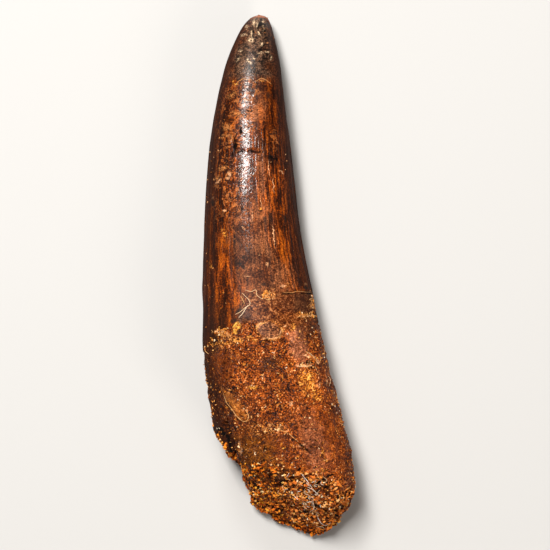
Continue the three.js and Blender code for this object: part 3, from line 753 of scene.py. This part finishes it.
def crownPaint(k, speck):  # orange ribbons between dark flute lines, painted as shade in the grooves, and a smoother mauve middle with a painted sheen
    c = enamelColours
    streak = k.noise(0.3, 2, 0.6, 0.2, k.spot("fluteSpot"))
    ribbon = k.noise(1.1, 1, 0.5, 0.2, k.spot("fluteSpot"))
    cloud = k.noise(5.0, 3, 0.6, 0.6)
    shade = k.blend((ribbon, 0.75), (streak, 0.6), (speck, 0.5), (cloud, 0.3))
    tint = k.ramp(shade, c, dark=0.38, brown=0.47, orange=0.56, bright=0.72)
    shade = k.blend((streak, 0.4), (speck, 0.7), (cloud, 0.8))
    mauve = k.ramp(shade, c, mauveDark=0.36, mauve=0.5, mauvePale=0.64)
    # painted sheen on the crown
    tint = k.tint(k.times(k.mask("mauve"), strength["crownMauve"]), tint, mauve)
    wandering = k.number("ADD", k.aroundAngle("fluteSpot"), k.times(k.number("SUBTRACT", cloud, 0.5), 0.12))
    wave = k.number("COSINE", k.times(wandering, float(crown["paintedFlutes"])))
    line = k.number("POWER", k.span(wave, 1.0, -1.0, 0.0, 1.0, "LINEAR"), 3.0)
    clear = k.oneMinus(k.times(k.mask("mauve"), 0.55))
    line = k.times(k.times(line, k.times(k.mask("fluted"), clear)), k.span(streak, 0.66, 0.46, 0.25, 1.0))
    # painted shade: near-black lines along the flute grooves
    return k.tint(k.times(line, strength["fluteLines"]), tint, c["black"]), line

def wrinkleLines(k):  # curling ridges, and the crests of some of them, which take a painted highlight
    wave = k.number("SINE", k.times(k.noise(1.8, 2, 0.5, 0.8), 25.0))
    return k.span(wave, -0.7, 0.4), k.times(k.span(wave, 0.1, 0.95), k.span(k.noise(1.0, 2), 0.44, 0.58))

def tipPaint(k, speck):
    c = enamelColours
    shade = k.blend((k.noise(1.5, 4, 0.65, 1.0), 0.7), (speck, 0.6))
    tint = k.ramp(shade, c, tipDark=0.39, tip=0.49, tipPale=0.6)
    warm = k.ramp(shade, c, dark=0.4, warmTip=0.5, warmTipPale=0.62)
    tint = k.tint(k.mask("tipEdge"), tint, warm)
    # painted glints: cream flecks on the middle of the tip
    glint = k.times(k.marked(marks["tipGlints"], 0.8), k.span(k.noise(0.3, 1), 0.42, 0.56))
    tint = k.tint(glint, tint, c["cream"])
    return k.tint(k.marked(marks["tipBlack"], 0.6), tint, c["black"])

def enamelPaint(k, speck, ridge, crest, mottle):
    c = enamelColours
    tint, line = crownPaint(k, speck)
    # painted shade in the creases between the wrinkles, and a painted highlight on some crests
    creaseShade = k.times(k.oneMinus(ridge), k.mask("wrinkled"))
    tint = k.tint(k.times(creaseShade, strength["creaseShading"]), tint, c["dark"])
    tint = k.tint(k.times(k.times(crest, k.mask("wrinkled")), strength["crestHighlights"]), tint, c["crest"])
    worn = k.times(k.marked(marks["worn"], 0.6), k.span(speck, 0.4, 0.56))
    tint = k.tint(k.times(worn, strength["worn"]), tint, c["worn"])
    tint = k.tint(k.mask("tipPart"), tint, tipPaint(k, speck))
    tint = k.tint(k.times(k.mask("apex"), k.span(k.noise(0.6, 2), 0.36, 0.52, 0.1, 0.9)), tint, c["rim"])
    shade = k.blend((mottle, 0.7), (speck, 0.6))
    collar = k.ramp(shade, c, dark=0.36, brown=0.46, collar=0.57, collarPale=0.74)
    shade = k.blend((mottle, 0.5), (speck, 0.5))
    mauve = k.ramp(shade, c, dark=0.36, mauveDark=0.5, mauve=0.64)
    # painted sheen on the collar
    collar = k.tint(k.times(k.mask("mauve"), strength["collarMauve"]), collar, mauve)
    shade = k.blend((mottle, 0.6), (speck, 0.8))
    onScale = k.ramp(shade, c, dark=0.38, scaleDark=0.47, scale=0.58, pale=0.72)
    tint = k.tint(k.mask("crownPart"), k.tint(k.mask("scale"), collar, onScale), tint)
    return k.tint(k.times(k.flecks(0.9, 0.12), strength["crownFlecks"]), tint, c["crest"]), line

def rootPaint(k, grainy, fleck):
    c = rootColours
    patchy = k.noise(2.4, 3, 0.6, 0.8)
    shade = k.blend((patchy, 0.45), (grainy, 0.55), (fleck, 0.65))
    rugged = k.ramp(shade, c, black=0.36, brown=0.43, rust=0.54, bright=0.64, pale=0.73)
    shade = k.blend((patchy, 0.5), (grainy, 0.4), (fleck, 0.5))
    smooth = k.ramp(shade, c, brown=0.36, rust=0.52, bright=0.7, crust=0.8)
    tint = k.tint(k.mask("calm"), rugged, smooth)
    shade = k.blend((patchy, 0.5), (grainy, 0.5), (fleck, 0.5))
    olive = k.ramp(shade, c, oliveDark=0.36, olive=0.52, olivePale=0.7)
    tint = k.tint(k.times(k.mask("olive"), strength["olive"]), tint, olive)
    shade = k.blend((patchy, 0.3), (grainy, 0.35), (fleck, 0.4))
    mauve = k.ramp(shade, c, brown=0.36, mauve=0.5, mauvePale=0.66)
    # painted sheen on the root
    tint = k.tint(k.times(k.mask("mauve"), strength["rootMauve"]), tint, mauve)
    tint = k.tint(k.times(k.span(grainy, 0.42, 0.34), strength["darkGrain"]), tint, c["black"])
    tint = k.tint(k.times(k.flecks(0.8, 0.2), strength["crustFlecks"]), tint, c["crust"])
    # pale flecks on the root, partly painted glints
    tint = k.tint(k.times(k.flecks(0.5, 0.15), strength["paleFlecksAndGlints"]), tint, c["pale"])
    plate = k.ramp(grainy, c, brown=0.34, plate=0.44, platePale=0.62)
    return k.tint(k.times(k.mask("plate"), strength["plate"]), tint, plate)

def smallMarks(k, tint, grainy, fleck, mottle):  # stains, crusts, edges and the marks placed one by one
    e, r = enamelColours, rootColours
    # stains, and the painted shadow round the raised flake, in one dark colour
    moat = k.times(k.mask("moat"), k.span(mottle, 0.56, 0.44, 0.3, 1.2))
    tint = k.tint(k.times(k.larger(k.mask("stain"), moat), strength["stain"]), tint, r["stain"])
    shade = k.blend((grainy, 0.9), (fleck, 0.6))
    ochre = k.ramp(shade, r, brown=0.4, rust=0.48, ochre=0.58, ochrePale=0.68)
    tint = k.tint(k.marked(marks["ochre"], 0.5), tint, ochre)
    shade = k.blend((grainy, 0.7), (fleck, 0.5))
    yellow = k.ramp(shade, r, rust=0.36, yellow=0.46, yellowPale=0.6)
    tint = k.tint(k.marked(marks["yellow"], 0.25), tint, yellow)
    shade = k.blend((grainy, 0.6), (fleck, 0.7))
    crust = k.ramp(shade, r, black=0.41, brown=0.46, rust=0.52, crust=0.59, pale=0.72)
    tint = k.tint(k.times(k.mask("crust"), k.span(grainy, 0.4, 0.52)), tint, crust)
    tint = k.tint(k.times(k.mask("rim"), k.span(mottle, 0.4, 0.5, 0.25, 1.0)), tint, crust)
    ring = k.times(k.ringed(scale["ring"], 0.15), k.marked(marks["scaleEdge"], 0.4))
    tint = k.tint(ring, tint, e["scaleEdge"])
    tint = k.tint(k.times(k.marked(marks["crumbly"], 0.6), k.span(fleck, 0.42, 0.54)), tint, r["crumb"])
    # pale marks: painted highlights and glints on the crown, pale crumbs on the root
    return k.tint(k.times(k.marked(marks["pale"], 0.5), k.span(grainy, 0.36, 0.5, 0.3, 0.9)), tint, e["pale"])

def toothMaterial():
    k = materialKit("fossilTooth")
    e, s = enamelColours, sandColours
    enamel, sandy = k.mask("enamel"), k.mask("sandy")
    speck, mottle = k.noise(0.4, 2, 0.6, 0.4), k.noise(1.1, 4, 0.68, 0.8)
    grainy, fleck = k.noise(0.65, 3, 0.65, 0.9), k.noise(0.36, 1, 0.5, 0.3)
    ridge, crest = wrinkleLines(k)
    enamelTint, line = enamelPaint(k, speck, ridge, crest, mottle)
    tint = smallMarks(k, k.tint(enamel, rootPaint(k, grainy, fleck), enamelTint), grainy, fleck, mottle)
    sand = k.noise(0.8, 4, 0.72, 0.7)
    sandTint = k.ramp(sand, s, black=0.44, brown=0.5, orange=0.57, ochre=0.67)
    tint = k.tint(sandy, tint, sandTint)
    tint = k.scaled(tint, k.span(k.noise(0.27, 1, 0.5, 0.3), 0.34, 0.66, 0.5, 1.6, "LINEAR"))
    # painted light and shade: the colours are scaled by the factor made above
    tint = k.scaled(tint, k.mask("tone"))
    # painted shade: the flanks are darkened
    tint = k.tint(k.times(k.mask("flank"), strength["flank"]), tint, e["dark"])
    tint = k.tint(k.times(k.marked(marks["spots"], 0.5), strength["spots"]), tint, e["spot"])
    # painted shade: cracks, pits, gaps and slits near black
    dark = k.larger(k.mask("cut"), k.marked(marks["shadedSlits"]))
    k.link(k.tint(k.times(dark, strength["cracks"]), tint, rootColours["crack"]), "Base Color")

    matt, smooth, dull, dry = ((sheen[name],) * 3 for name in
                               ("roughness", "smoothSpecks", "mauveRoughness", "sandRoughness"))
    roughness = k.tint(enamel, matt, k.stepped(speck, [(0.4, matt), (0.6, smooth)]))
    roughness = k.tint(k.mask("mauve"), roughness, dull)
    k.link(k.tint(k.larger(k.larger(sandy, k.mask("flank")), dark), roughness, dry), "Roughness")
    k.surface.inputs["Specular IOR Level"].default_value = sheen["specular"]
    broken = k.span(k.noise(0.7, 3, 0.6), 0.38, 0.5, 0.3, 1.0)
    glints = k.times(k.span(k.noise(0.33, 1), 0.52, 0.62, 0.0, sheen["glints"]), k.mask("glinting"))
    coat = k.larger(k.times(k.mask("gloss"), broken), glints)
    k.link(k.times(coat, k.oneMinus(k.larger(dark, sandy))), "Coat Weight")
    k.surface.inputs["Coat Roughness"].default_value = sheen["coatRoughness"]

    bare = k.oneMinus(enamel)
    heights = {
        "wrinkles": (ridge, k.mask("wrinkled")), "crownSpecks": (speck, enamel), "fluteLines": (line, -1.0),
        "tip": (k.mask("tipPart"), k.noise(0.7, 2, 0.6, 1.0)), "rootGrain": (bare, grainy),
        "rootFlecks": (bare, fleck), "sand": (sandy, sand),
    }
    normal = None
    for name, (height, where) in heights.items():
        normal = k.bump(k.times(height, where), bumpDepth[name], normal)
    k.link(normal, "Normal")
    k.link(normal, "Coat Normal")
    return k.material

bodyData.materials.append(toothMaterial())
print("materials done")

# Grains and crumbs scattered over the body, and threads laid on it.
grainSets = {  # where they lie, how many, their sizes, and their colours from few to many
    "sandLumps": {
        "where": "grainChance", "perSquareMm": 0.75, "size": (0.25, 0.68), "sink": 0.2, "seed": 11,
        "roughness": 0.75,
        "tints": ((0.0, (0.004, 0.001, 0.0005)), (0.25, (0.12, 0.022, 0.003)), (0.46, (0.52, 0.095, 0.006)),
                  (0.74, (0.82, 0.19, 0.009)), (1.0, (0.92, 0.43, 0.04))),
        "rightTints": ((0.0, (0.004, 0.001, 0.0005)), (0.25, (0.13, 0.026, 0.005)),
                       (0.46, (0.5, 0.11, 0.018)), (0.74, (0.8, 0.22, 0.03)), (1.0, (0.9, 0.5, 0.18))),
    },
    "sandGrains": {
        "where": "grainChance", "perSquareMm": 3.2, "size": (0.08, 0.3), "sink": -0.02, "seed": 12,
        "roughness": 0.7,
        "tints": ((0.0, (0.004, 0.001, 0.0005)), (0.22, (0.14, 0.026, 0.003)), (0.38, (0.42, 0.078, 0.005)),
                  (0.66, (0.76, 0.2, 0.009)), (0.88, (0.9, 0.38, 0.028)), (1.0, (0.94, 0.72, 0.36))),
        "rightTints": ((0.0, (0.004, 0.001, 0.0005)), (0.22, (0.14, 0.032, 0.006)),
                       (0.38, (0.68, 0.18, 0.028)), (0.66, (0.92, 0.28, 0.036)), (0.88, (0.93, 0.45, 0.1)),
                       (1.0, (0.94, 0.8, 0.55))),
    },
    "rootCrumbs": {
        "where": "crumbChance", "perSquareMm": 0.5, "size": (0.08, 0.28), "sink": 0.08, "seed": 23,
        "roughness": 0.5,
        "tints": ((0.0, (0.01, 0.004, 0.002)), (0.3, (0.26, 0.06, 0.008)), (0.7, (0.55, 0.18, 0.02)),
                  (0.9, (0.78, 0.4, 0.14)), (1.0, (0.9, 0.68, 0.46))),
    },
    "rootSpecks": {
        "where": "speckChance", "perSquareMm": 1.6, "size": (0.05, 0.17), "sink": 0.03, "seed": 37,
        "roughness": 0.5,
        "tints": ((0.0, (0.05, 0.01, 0.002)), (0.3, (0.42, 0.1, 0.01)), (0.6, (0.75, 0.25, 0.03)),
                  (0.85, (0.88, 0.46, 0.14)), (1.0, (0.92, 0.74, 0.52))),
    },
    "brightCrumbs": {
        "where": "clusterChance", "perSquareMm": 2.6, "size": (0.08, 0.3), "sink": 0.05, "seed": 47,
        "roughness": 0.5,
        "tints": ((0.0, (0.12, 0.025, 0.003)), (0.3, (0.5, 0.13, 0.012)), (0.65, (0.85, 0.36, 0.06)),
                  (1.0, (0.92, 0.7, 0.42))),
    },
    "crownCrumbs": {
        "where": "crownChance", "perSquareMm": 0.12, "size": (0.06, 0.16), "sink": 0.04, "seed": 31,
        "roughness": 0.4,
        "tints": ((0.0, (0.2, 0.04, 0.005)), (0.5, (0.45, 0.14, 0.02)), (1.0, (0.75, 0.4, 0.18))),
    },
}
grainShape = {"roundness": 1, "fullTurn": 6.283, "knobScale": 2600.0, "knobHeight": 0.0009, "specular": 0.1}

offFloor = smoothStep(1, 2.5, z)
crumbs = rocky * (1 - 0.7 * masks["calm"]) * smoothStep(0, 0.25, latticeNoise(plain, 4, 31) + 0.1)
crumbs += 0.8 * bare * (1 - masks["sandy"]) * smoothStep(0.86, 0.96, across)
for name, share in (("manyCrumbs", 2.4), ("fewCrumbs", 0.15), ("someCrumbs", 0.6)):
    crumbs += patches(places[name]) * share
clusters = patches((x, y, halfX + 0.15, halfY + 0.15, sum(tilt), 0.4, 0.3)
                   for x, y, halfX, halfY, *tilt in marks["crumbly"] + marks["clusters"])
specks = rocky * (1 - 0.5 * masks["calm"]) * smoothStep(-0.1, 0.3, latticeNoise(plain, 2.2, 43))
storeMask(bodyData, "grainChance", masks["sandy"] * (1 - shadedGaps) * smoothStep(1.2, 2.5, z))
storeMask(bodyData, "crumbChance", crumbs * offFloor)
storeMask(bodyData, "clusterChance", clusters * offFloor)
# fewer specks under the painted shade on the left side
storeMask(bodyData, "speckChance", specks * (1 - 0.7 * masks["plate"]) * (1 - 0.5 * shade) * offFloor)
onCrown = smoothStep(0, 0.3, latticeNoise(plain, 5, 33))
storeMask(bodyData, "crownChance", masks["enamel"] * offFloor * onCrown)

def newTree(name, **inputs):  # the tree, the keys of its inputs, a node maker and what it is given
    tree = bpy.data.node_groups.new(name, "GeometryNodeTree")
    def socket(title, kind, side="INPUT"):
        return tree.interface.new_socket(title, in_out=side, socket_type="NodeSocket" + kind).identifier
    socket("Geometry", "Geometry")
    socket("Geometry", "Geometry", "OUTPUT")
    ids = {title: socket(title, kind) for title, kind in inputs.items()}
    add = nodeMaker(tree)
    return tree, ids, add, add("NodeGroupInput").outputs

def finishTree(add, geometry, material):
    whole = add("GeometryNodeRealizeInstances", {0: geometry}).outputs[0]
    add("NodeGroupOutput", {0: add("GeometryNodeSetMaterial", {0: whole, "Material": material}).outputs[0]})

def grainTree():
    tree, ids, add, given = newTree("grains", perSquareMetre="Float", chance="Float", smallest="Float",
                                    largest="Float", sink="Float", seed="Int", material="Material")
    def times(a, b):
        return add("ShaderNodeMath", {0: a, 1: b}, operation="MULTIPLY").outputs[0]
    def scaled(vector, factor):
        return add("ShaderNodeVectorMath", {0: vector, "Scale": factor}, operation="SCALE").outputs[0]
    def random(low, high, salt):
        seed = add("ShaderNodeMath", {0: given["seed"], 1: float(salt)}, operation="ADD").outputs[0]
        drawn = add("FunctionNodeRandomValue", {"Min": low, "Max": high, "Seed": seed}, data_type="FLOAT")
        return drawn.outputs[1]
    density = times(given["chance"], given["perSquareMetre"])
    points = add("GeometryNodeDistributePointsOnFaces",
                 {"Mesh": given["Geometry"], "Density": density, "Seed": given["seed"]})
    sunk = scaled(points.outputs["Normal"], given["sink"])
    moved = add("GeometryNodeSetPosition", {"Geometry": points.outputs["Points"], "Offset": sunk}).outputs[0]
    tint = {"Geometry": moved, "Name": "tint", "Value": random(0.0, 1.0, 1)}
    tinted = add("GeometryNodeStoreNamedAttribute", tint, data_type="FLOAT", domain="POINT").outputs[0]
    roundness = grainShape["roundness"]
    ball = add("GeometryNodeMeshIcoSphere", {"Radius": 1.0, "Subdivisions": roundness}).outputs[0]
    sizes = {i: random(given["smallest"], given["largest"], 2 + i) for i in range(3)}
    turns = {i: random(0.0, grainShape["fullTurn"], 5 + i) for i in range(3)}
    placed = add("GeometryNodeInstanceOnPoints", {
        "Points": tinted, "Instance": ball, "Rotation": add("ShaderNodeCombineXYZ", turns).outputs[0],
        "Scale": add("ShaderNodeCombineXYZ", sizes).outputs[0]}).outputs[0]
    whole = add("GeometryNodeRealizeInstances", {0: placed}).outputs[0]
    rough = add("ShaderNodeTexNoise", {"Scale": grainShape["knobScale"], "Detail": 0.0}).outputs["Color"]
    centred = add("ShaderNodeVectorMath", {0: rough, 1: (0.5, 0.5, 0.5)}, operation="SUBTRACT").outputs[0]
    pushed = scaled(centred, grainShape["knobHeight"])
    knobbly = add("GeometryNodeSetPosition", {"Geometry": whole, "Offset": pushed}).outputs[0]
    flat = add("GeometryNodeSetShadeSmooth", {"Geometry": knobbly, "Shade Smooth": False}).outputs[0]
    finishTree(add, flat, given["material"])
    return tree, ids

def grainMaterial(name, recipe):
    k = materialKit(name)
    shade = k.blend((k.mask("tint"), 0.9), (k.noise(2.5, 1), 0.8))
    grain = k.stepped(shade, recipe["tints"])
    if "rightTints" in recipe:
        right = k.span(k.number("ADD", k.split(k.place)[0], k.times(k.noise(4.0, 1), 8.0)), 0.0, 10.0)
        right = k.times(right, k.span(k.split(k.place)[2], 4.0, 9.0))
        grain = k.tint(right, grain, k.stepped(shade, recipe["rightTints"]))
    k.link(grain, "Base Color")
    k.surface.inputs["Roughness"].default_value = recipe["roughness"]
    k.surface.inputs["Specular IOR Level"].default_value = grainShape["specular"]
    return k.material

def grownMesh(name, source, tree, values, attributes=()):
    holder = bpy.data.objects.new(name, source)
    bpy.context.scene.collection.objects.link(holder)
    growth = holder.modifiers.new("growth", "NODES")
    growth.node_group = tree
    for key, value in values.items():
        growth[key] = value
    for key, attribute in attributes:
        growth[key + "_use_attribute"], growth[key + "_attribute_name"] = True, attribute
    seen = holder.evaluated_get(bpy.context.evaluated_depsgraph_get())
    mesh = bpy.data.meshes.new_from_object(seen)
    for mask in set(masks) & set(mesh.attributes.keys()):
        mesh.attributes.remove(mesh.attributes[mask])
    holder.modifiers.clear()
    bpy.data.objects.remove(holder)
    result = bpy.data.objects.new(name, mesh)
    bpy.context.scene.collection.objects.link(result)
    print(name + ":", len(mesh.polygons), "faces")
    return result

tree, ids = grainTree()
addedPieces = []
for name, recipe in grainSets.items():
    values = {
        ids["perSquareMetre"]: recipe["perSquareMm"] / mm**2, ids["sink"]: -recipe["sink"] * mm,
        ids["smallest"]: recipe["size"][0] * mm, ids["largest"]: recipe["size"][1] * mm,
        ids["seed"]: recipe["seed"], ids["material"]: grainMaterial(name, recipe)}
    addedPieces.append(grownMesh(name, bodyData, tree, values, [(ids["chance"], recipe["where"])]))

threads = {  # fine roots, fibres and cracked edges
    "lines": [  # half thickness, tint from dark to white, height above the ground, then x, y points
        (0.085, 0.72, 0, [(-8.5, -3.7), (-7.3, -4.8), (-6.5, -6.1), (-7.6, -7.2), (-8.9, -8.1),
                          (-9.9, -8.7)]),
        (0.09, 0.8, 0, [(-6.9, -6.5), (-7.2, -6.9), (-8, -8.1), (-9, -9.4)]),
        (0.08, 0.6, 0, [(-8.7, -4.4), (-8.2, -5.3), (-7.8, -6.3)]),
        (0.085, 0.68, 0, [(-7.8, -3.1), (-6.4, -3.4), (-5.2, -3.1), (-5, -4.2), (-3.9, -5), (-3, -4.8)]),
        (0.06, 0.5, 0, [(0.9, -3.6), (2.9, -3.7), (4, -3.4), (5.9, -3.6), (7.4, -3.6)]),
        (0.08, 0.6, 0, [(-17, -16.2), (-16.6, -17.2), (-15.9, -17.7)]),
        (0.09, 0.62, 0, [(-5.2, -11.3), (-4.6, -10.7), (-3.6, -10.4)]),
        (0.09, 0.7, 0, [(5.9, -17.9), (6.8, -17.3), (7.9, -18.4), (9, -19.9)]),
        (0.07, 0.5, 0, [(9, -19.9), (9.4, -18.9), (9.2, -17.9)]),
        (0.09, 0.7, 0, [(3.8, -20.1), (5.2, -20.4), (6.6, -20.3), (7.5, -20.1)]),
        (0.07, 0.7, 0, [(11.2, -22.7), (11.7, -23.6), (11.4, -24.9)]),
        (0.09, 0.6, 0, [(-12.6, -26.4), (-11.6, -28.8), (-10.4, -30.2), (-9.6, -31.4), (-8.4, -32.4),
                        (-7.5, -32.5), (-6.9, -31.6), (-7.2, -30.7), (-8, -29.5)]),
        (0.07, 0.6, 0, [(0.3, -34.4), (1.7, -35), (3.1, -36.1), (4.2, -37)]),
        (0.14, 0.95, 0.2, [(2.1, -44.2), (1.7, -45.1)]),
        (0.085, 1, 0.4, [(5.2, -44.5), (6.4, -46.2), (7.5, -47.8)]),
        (0.08, 0.95, 0.4, [(6, -46.4), (6.9, -47.3)]),
        (0.075, 0.95, 0.5, [(6.5, -47.6), (7.9, -48.3), (9, -49.6)]),
        (0.12, 0.9, 0.4, [(7.4, -46.4), (8.2, -46)]),
        (0.12, 1, 0.5, [(2.9, -49.2), (4.2, -50.6)]),
        (0.07, 0.9, 0.5, [(7.5, -50.6), (7.9, -52.4), (7, -54.2)]),
        (0.075, 0.95, 0.5, [(8.6, -54.2), (9.3, -56), (10.7, -57.2), (11.8, -56.5)]),
        (0.14, 0.75, 0.5, [(5.6, -52.2), (6.4, -52.9)]),
        (0.07, 0.5, 0, [(-9.4, 44.3), (-8, 44.9), (-6.2, 44.6)]),
        (0.06, 0.5, 0, [(-5.2, 44.4), (-4, 45), (-2.9, 44.6), (-1.8, 43.9)]),
    ],
    "tangles": [  # loose fibres: middle, spread, count, length, tint, turn, its scatter, lift and seed
        ((6.8, -49.5), (3.6, 5), 80, (0.5, 1.9), (0.35, 1.0), -52, 38, 0.35, 61),
        ((1, -52), (6.5, 5), 60, (0.4, 1.3), (0.25, 0.65), -40, 60, 0.3, 62),
        ((-2.3, -4.2), (1.5, 1), 26, (0.4, 1.1), (0.3, 0.65), 0, 90, 0.05, 63),
        ((-12.6, -13.1), (2.4, 1), 20, (0.4, 1.2), (0.25, 0.6), 20, 90, 0.05, 64),
        ((7.6, -5.6), (0.6, 2), 22, (0.4, 1.1), (0.3, 0.6), 80, 60, 0.05, 65),
        ((6, -9), (2.2, 0.5), 18, (0.4, 1.1), (0.3, 0.65), 10, 60, 0.05, 66),
        ((-2.4, -34), (3.6, 1.2), 22, (0.3, 1.1), (0.25, 0.6), -15, 90, 0.05, 67),
        ((7.8, -21.5), (2.2, 2.8), 16, (0.4, 1.2), (0.25, 0.7), -30, 80, 0.05, 68),
    ],
    "looseHalf": (0.04, 0.08), "wobble": 0.12, "dropHeight": 50, "roughness": 0.6,
    "tints": ((0.0, (0.1, 0.03, 0.008)), (0.4, (0.5, 0.18, 0.03)), (0.6, (0.75, 0.38, 0.12)),
              (0.8, (0.85, 0.62, 0.4)), (1.0, (0.9, 0.86, 0.8))),
}

def looseFibres(middle, spread, count, length, tints, turn, scatter, lift, seed):
    rng = np.random.default_rng(seed)
    for _ in range(count):
        centre = np.array(middle) + rng.normal(size=2) * spread * 0.6
        heading = math.radians(turn + rng.uniform(-1, 1) * scatter)
        along = np.array((math.cos(heading), math.sin(heading))) * rng.uniform(*length) / 2
        bow = np.array((-along[1], along[0])) * rng.uniform(-0.9, 0.9)
        line = [centre - along, centre + bow, centre + along]
        yield rng.uniform(*threads["looseHalf"]), rng.uniform(*tints), lift * rng.random(), line

def threadTree():
    tree, ids, add, given = newTree("threads", ground="Object", half="Float", lift="Float",
                                    material="Material")
    ground = add("GeometryNodeObjectInfo", {"Object": given["ground"]}, transform_space="RELATIVE")
    hit = add("GeometryNodeRaycast", {"Target Geometry": ground.outputs["Geometry"],
                                      "Ray Direction": (0, 0, -1), "Ray Length": 1.0}).outputs["Hit Position"]
    raised = add("ShaderNodeCombineXYZ", {2: given["lift"]}).outputs[0]
    landed = add("GeometryNodeSetPosition", {"Geometry": given["Geometry"], "Position": hit,
                                             "Offset": raised}).outputs[0]
    curve = add("GeometryNodeMeshToCurve", {0: landed}).outputs[0]
    ring = add("GeometryNodeCurvePrimitiveCircle", {"Resolution": 5, "Radius": 1.0}, mode="RADIUS").outputs[0]
    tubes = add("GeometryNodeCurveToMesh", {"Curve": curve, "Profile Curve": ring, "Scale": given["half"],
                                            "Fill Caps": True}).outputs[0]
    finishTree(add, tubes, given["material"])
    return tree, ids

def threadLines():
    points, edges, halves, tints, lifts = [], [], [], [], []
    shift = np.array(toothShape["shift"][:2])
    loose = [fibre for lot in threads["tangles"] for fibre in looseFibres(*lot)]
    for half, tint, lift, line in threads["lines"] + loose:
        line = curveThrough(line, 5)
        spots = np.concatenate([line, np.zeros((len(line), 1))], 1)
        sway = np.stack([latticeNoise(spots, 0.9, 41), latticeNoise(spots, 0.9, 47)], -1)
        line = line + threads["wobble"] * sway + shift
        edges += [(len(points) + i, len(points) + i + 1) for i in range(len(line) - 1)]
        along = np.linspace(0, 1, len(line))
        halves += list(half * (0.55 + 0.45 * np.sin(along * math.pi)) * mm)
        tints += [tint] * len(line)
        lifts += [lift * mm] * len(line)
        points += [(px * mm, py * mm, threads["dropHeight"] * mm) for px, py in line]
    mesh = bpy.data.meshes.new("threadLines")
    mesh.from_pydata(points, edges, [])
    for name, values in (("half", halves), ("tint", tints), ("lift", lifts)):
        mesh.attributes.new(name, "FLOAT", "POINT").data.foreach_set("value", values)
    return mesh

paint = materialKit("threadPaint")
paint.link(paint.stepped(paint.mask("tint"), threads["tints"]), "Base Color")
paint.surface.inputs["Roughness"].default_value = threads["roughness"]
tree, ids = threadTree()
values = {ids["ground"]: body, ids["material"]: paint.material}
attributes = [(ids["half"], "half"), (ids["lift"], "lift")]
addedPieces.append(grownMesh("threads", threadLines(), tree, values, attributes))

studio = {
    "floorColour": (0.57, 0.562, 0.55), "floorSize": 3.0, "floorRoughness": 0.75, "airStrength": 0.06,
    "fieldWidth": 0.12567, "lens": 200.0, "sensorWidth": 36.0, "aim": (-0.77, 0.28, 12.0), "clip": (0.05, 10),
    "lightAim": (0, 0, 0.012),
    "softBoxes": {  # where each one hangs, its size, its power and its colour
        "keyBox": ((-0.18, 0.3, 0.8), (0.17, 0.34), 10.0, (1, 0.98, 0.95)),
        "tipBox": ((-0.12, 0.58, 0.6), (0.2, 0.2), 2.0, (1, 0.98, 0.95)),
        "broadBox": ((-0.8, 0.3, 0.7), (0.6, 0.6), 0.4, (1, 1, 1)),
        "fillBox": ((0.8, -0.2, 0.7), (0.6, 0.6), 0.3, (1, 1, 1)),
        "endBox": ((0.42, -0.55, 0.42), (0.25, 0.25), 1.8, (1, 0.92, 0.82)),
    },
}
bpy.ops.mesh.primitive_plane_add(size=studio["floorSize"], location=(0, 0, 0))
floor = bpy.context.object
floor.name = "studioFloor"
floorPaint = materialKit("paleFloor")
floorPaint.surface.inputs["Base Color"].default_value = (*studio["floorColour"], 1)
floorPaint.surface.inputs["Roughness"].default_value = studio["floorRoughness"]
floor.data.materials.append(floorPaint.material)

world = bpy.data.worlds.new("studioAir")
world.use_nodes = True
air = world.node_tree.nodes["Background"].inputs
air["Color"].default_value = (1, 1, 1, 1)
air["Strength"].default_value = studio["airStrength"]
bpy.context.scene.world = world

for name, (location, size, power, colour) in studio["softBoxes"].items():
    light = bpy.data.lights.new(name, "AREA")
    light.shape, light.size, light.size_y = "RECTANGLE", size[0], size[1]
    light.energy, light.color = power, colour
    lamp = bpy.data.objects.new(name, light)
    lamp.location = location
    towards = Vector(studio["lightAim"]) - Vector(location)
    lamp.rotation_euler = towards.to_track_quat("-Z", "Y").to_euler()
    bpy.context.scene.collection.objects.link(lamp)

aimX, aimY, aimZ = (value * mm for value in studio["aim"])
camera = bpy.data.cameras.new("topCamera")
camera.lens, camera.sensor_width = studio["lens"], studio["sensorWidth"]
camera.clip_start, camera.clip_end = studio["clip"]
cameraObject = bpy.data.objects.new("topCamera", camera)
cameraObject.location = (aimX, aimY, aimZ + studio["fieldWidth"] * studio["lens"] / studio["sensorWidth"])
bpy.context.scene.collection.objects.link(cameraObject)
bpy.context.scene.camera = cameraObject
bpy.context.scene.view_settings.view_transform = "Standard"
print("studio done")

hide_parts("tooth")
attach(body, "root")
for piece in addedPieces:
    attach(piece, "root")
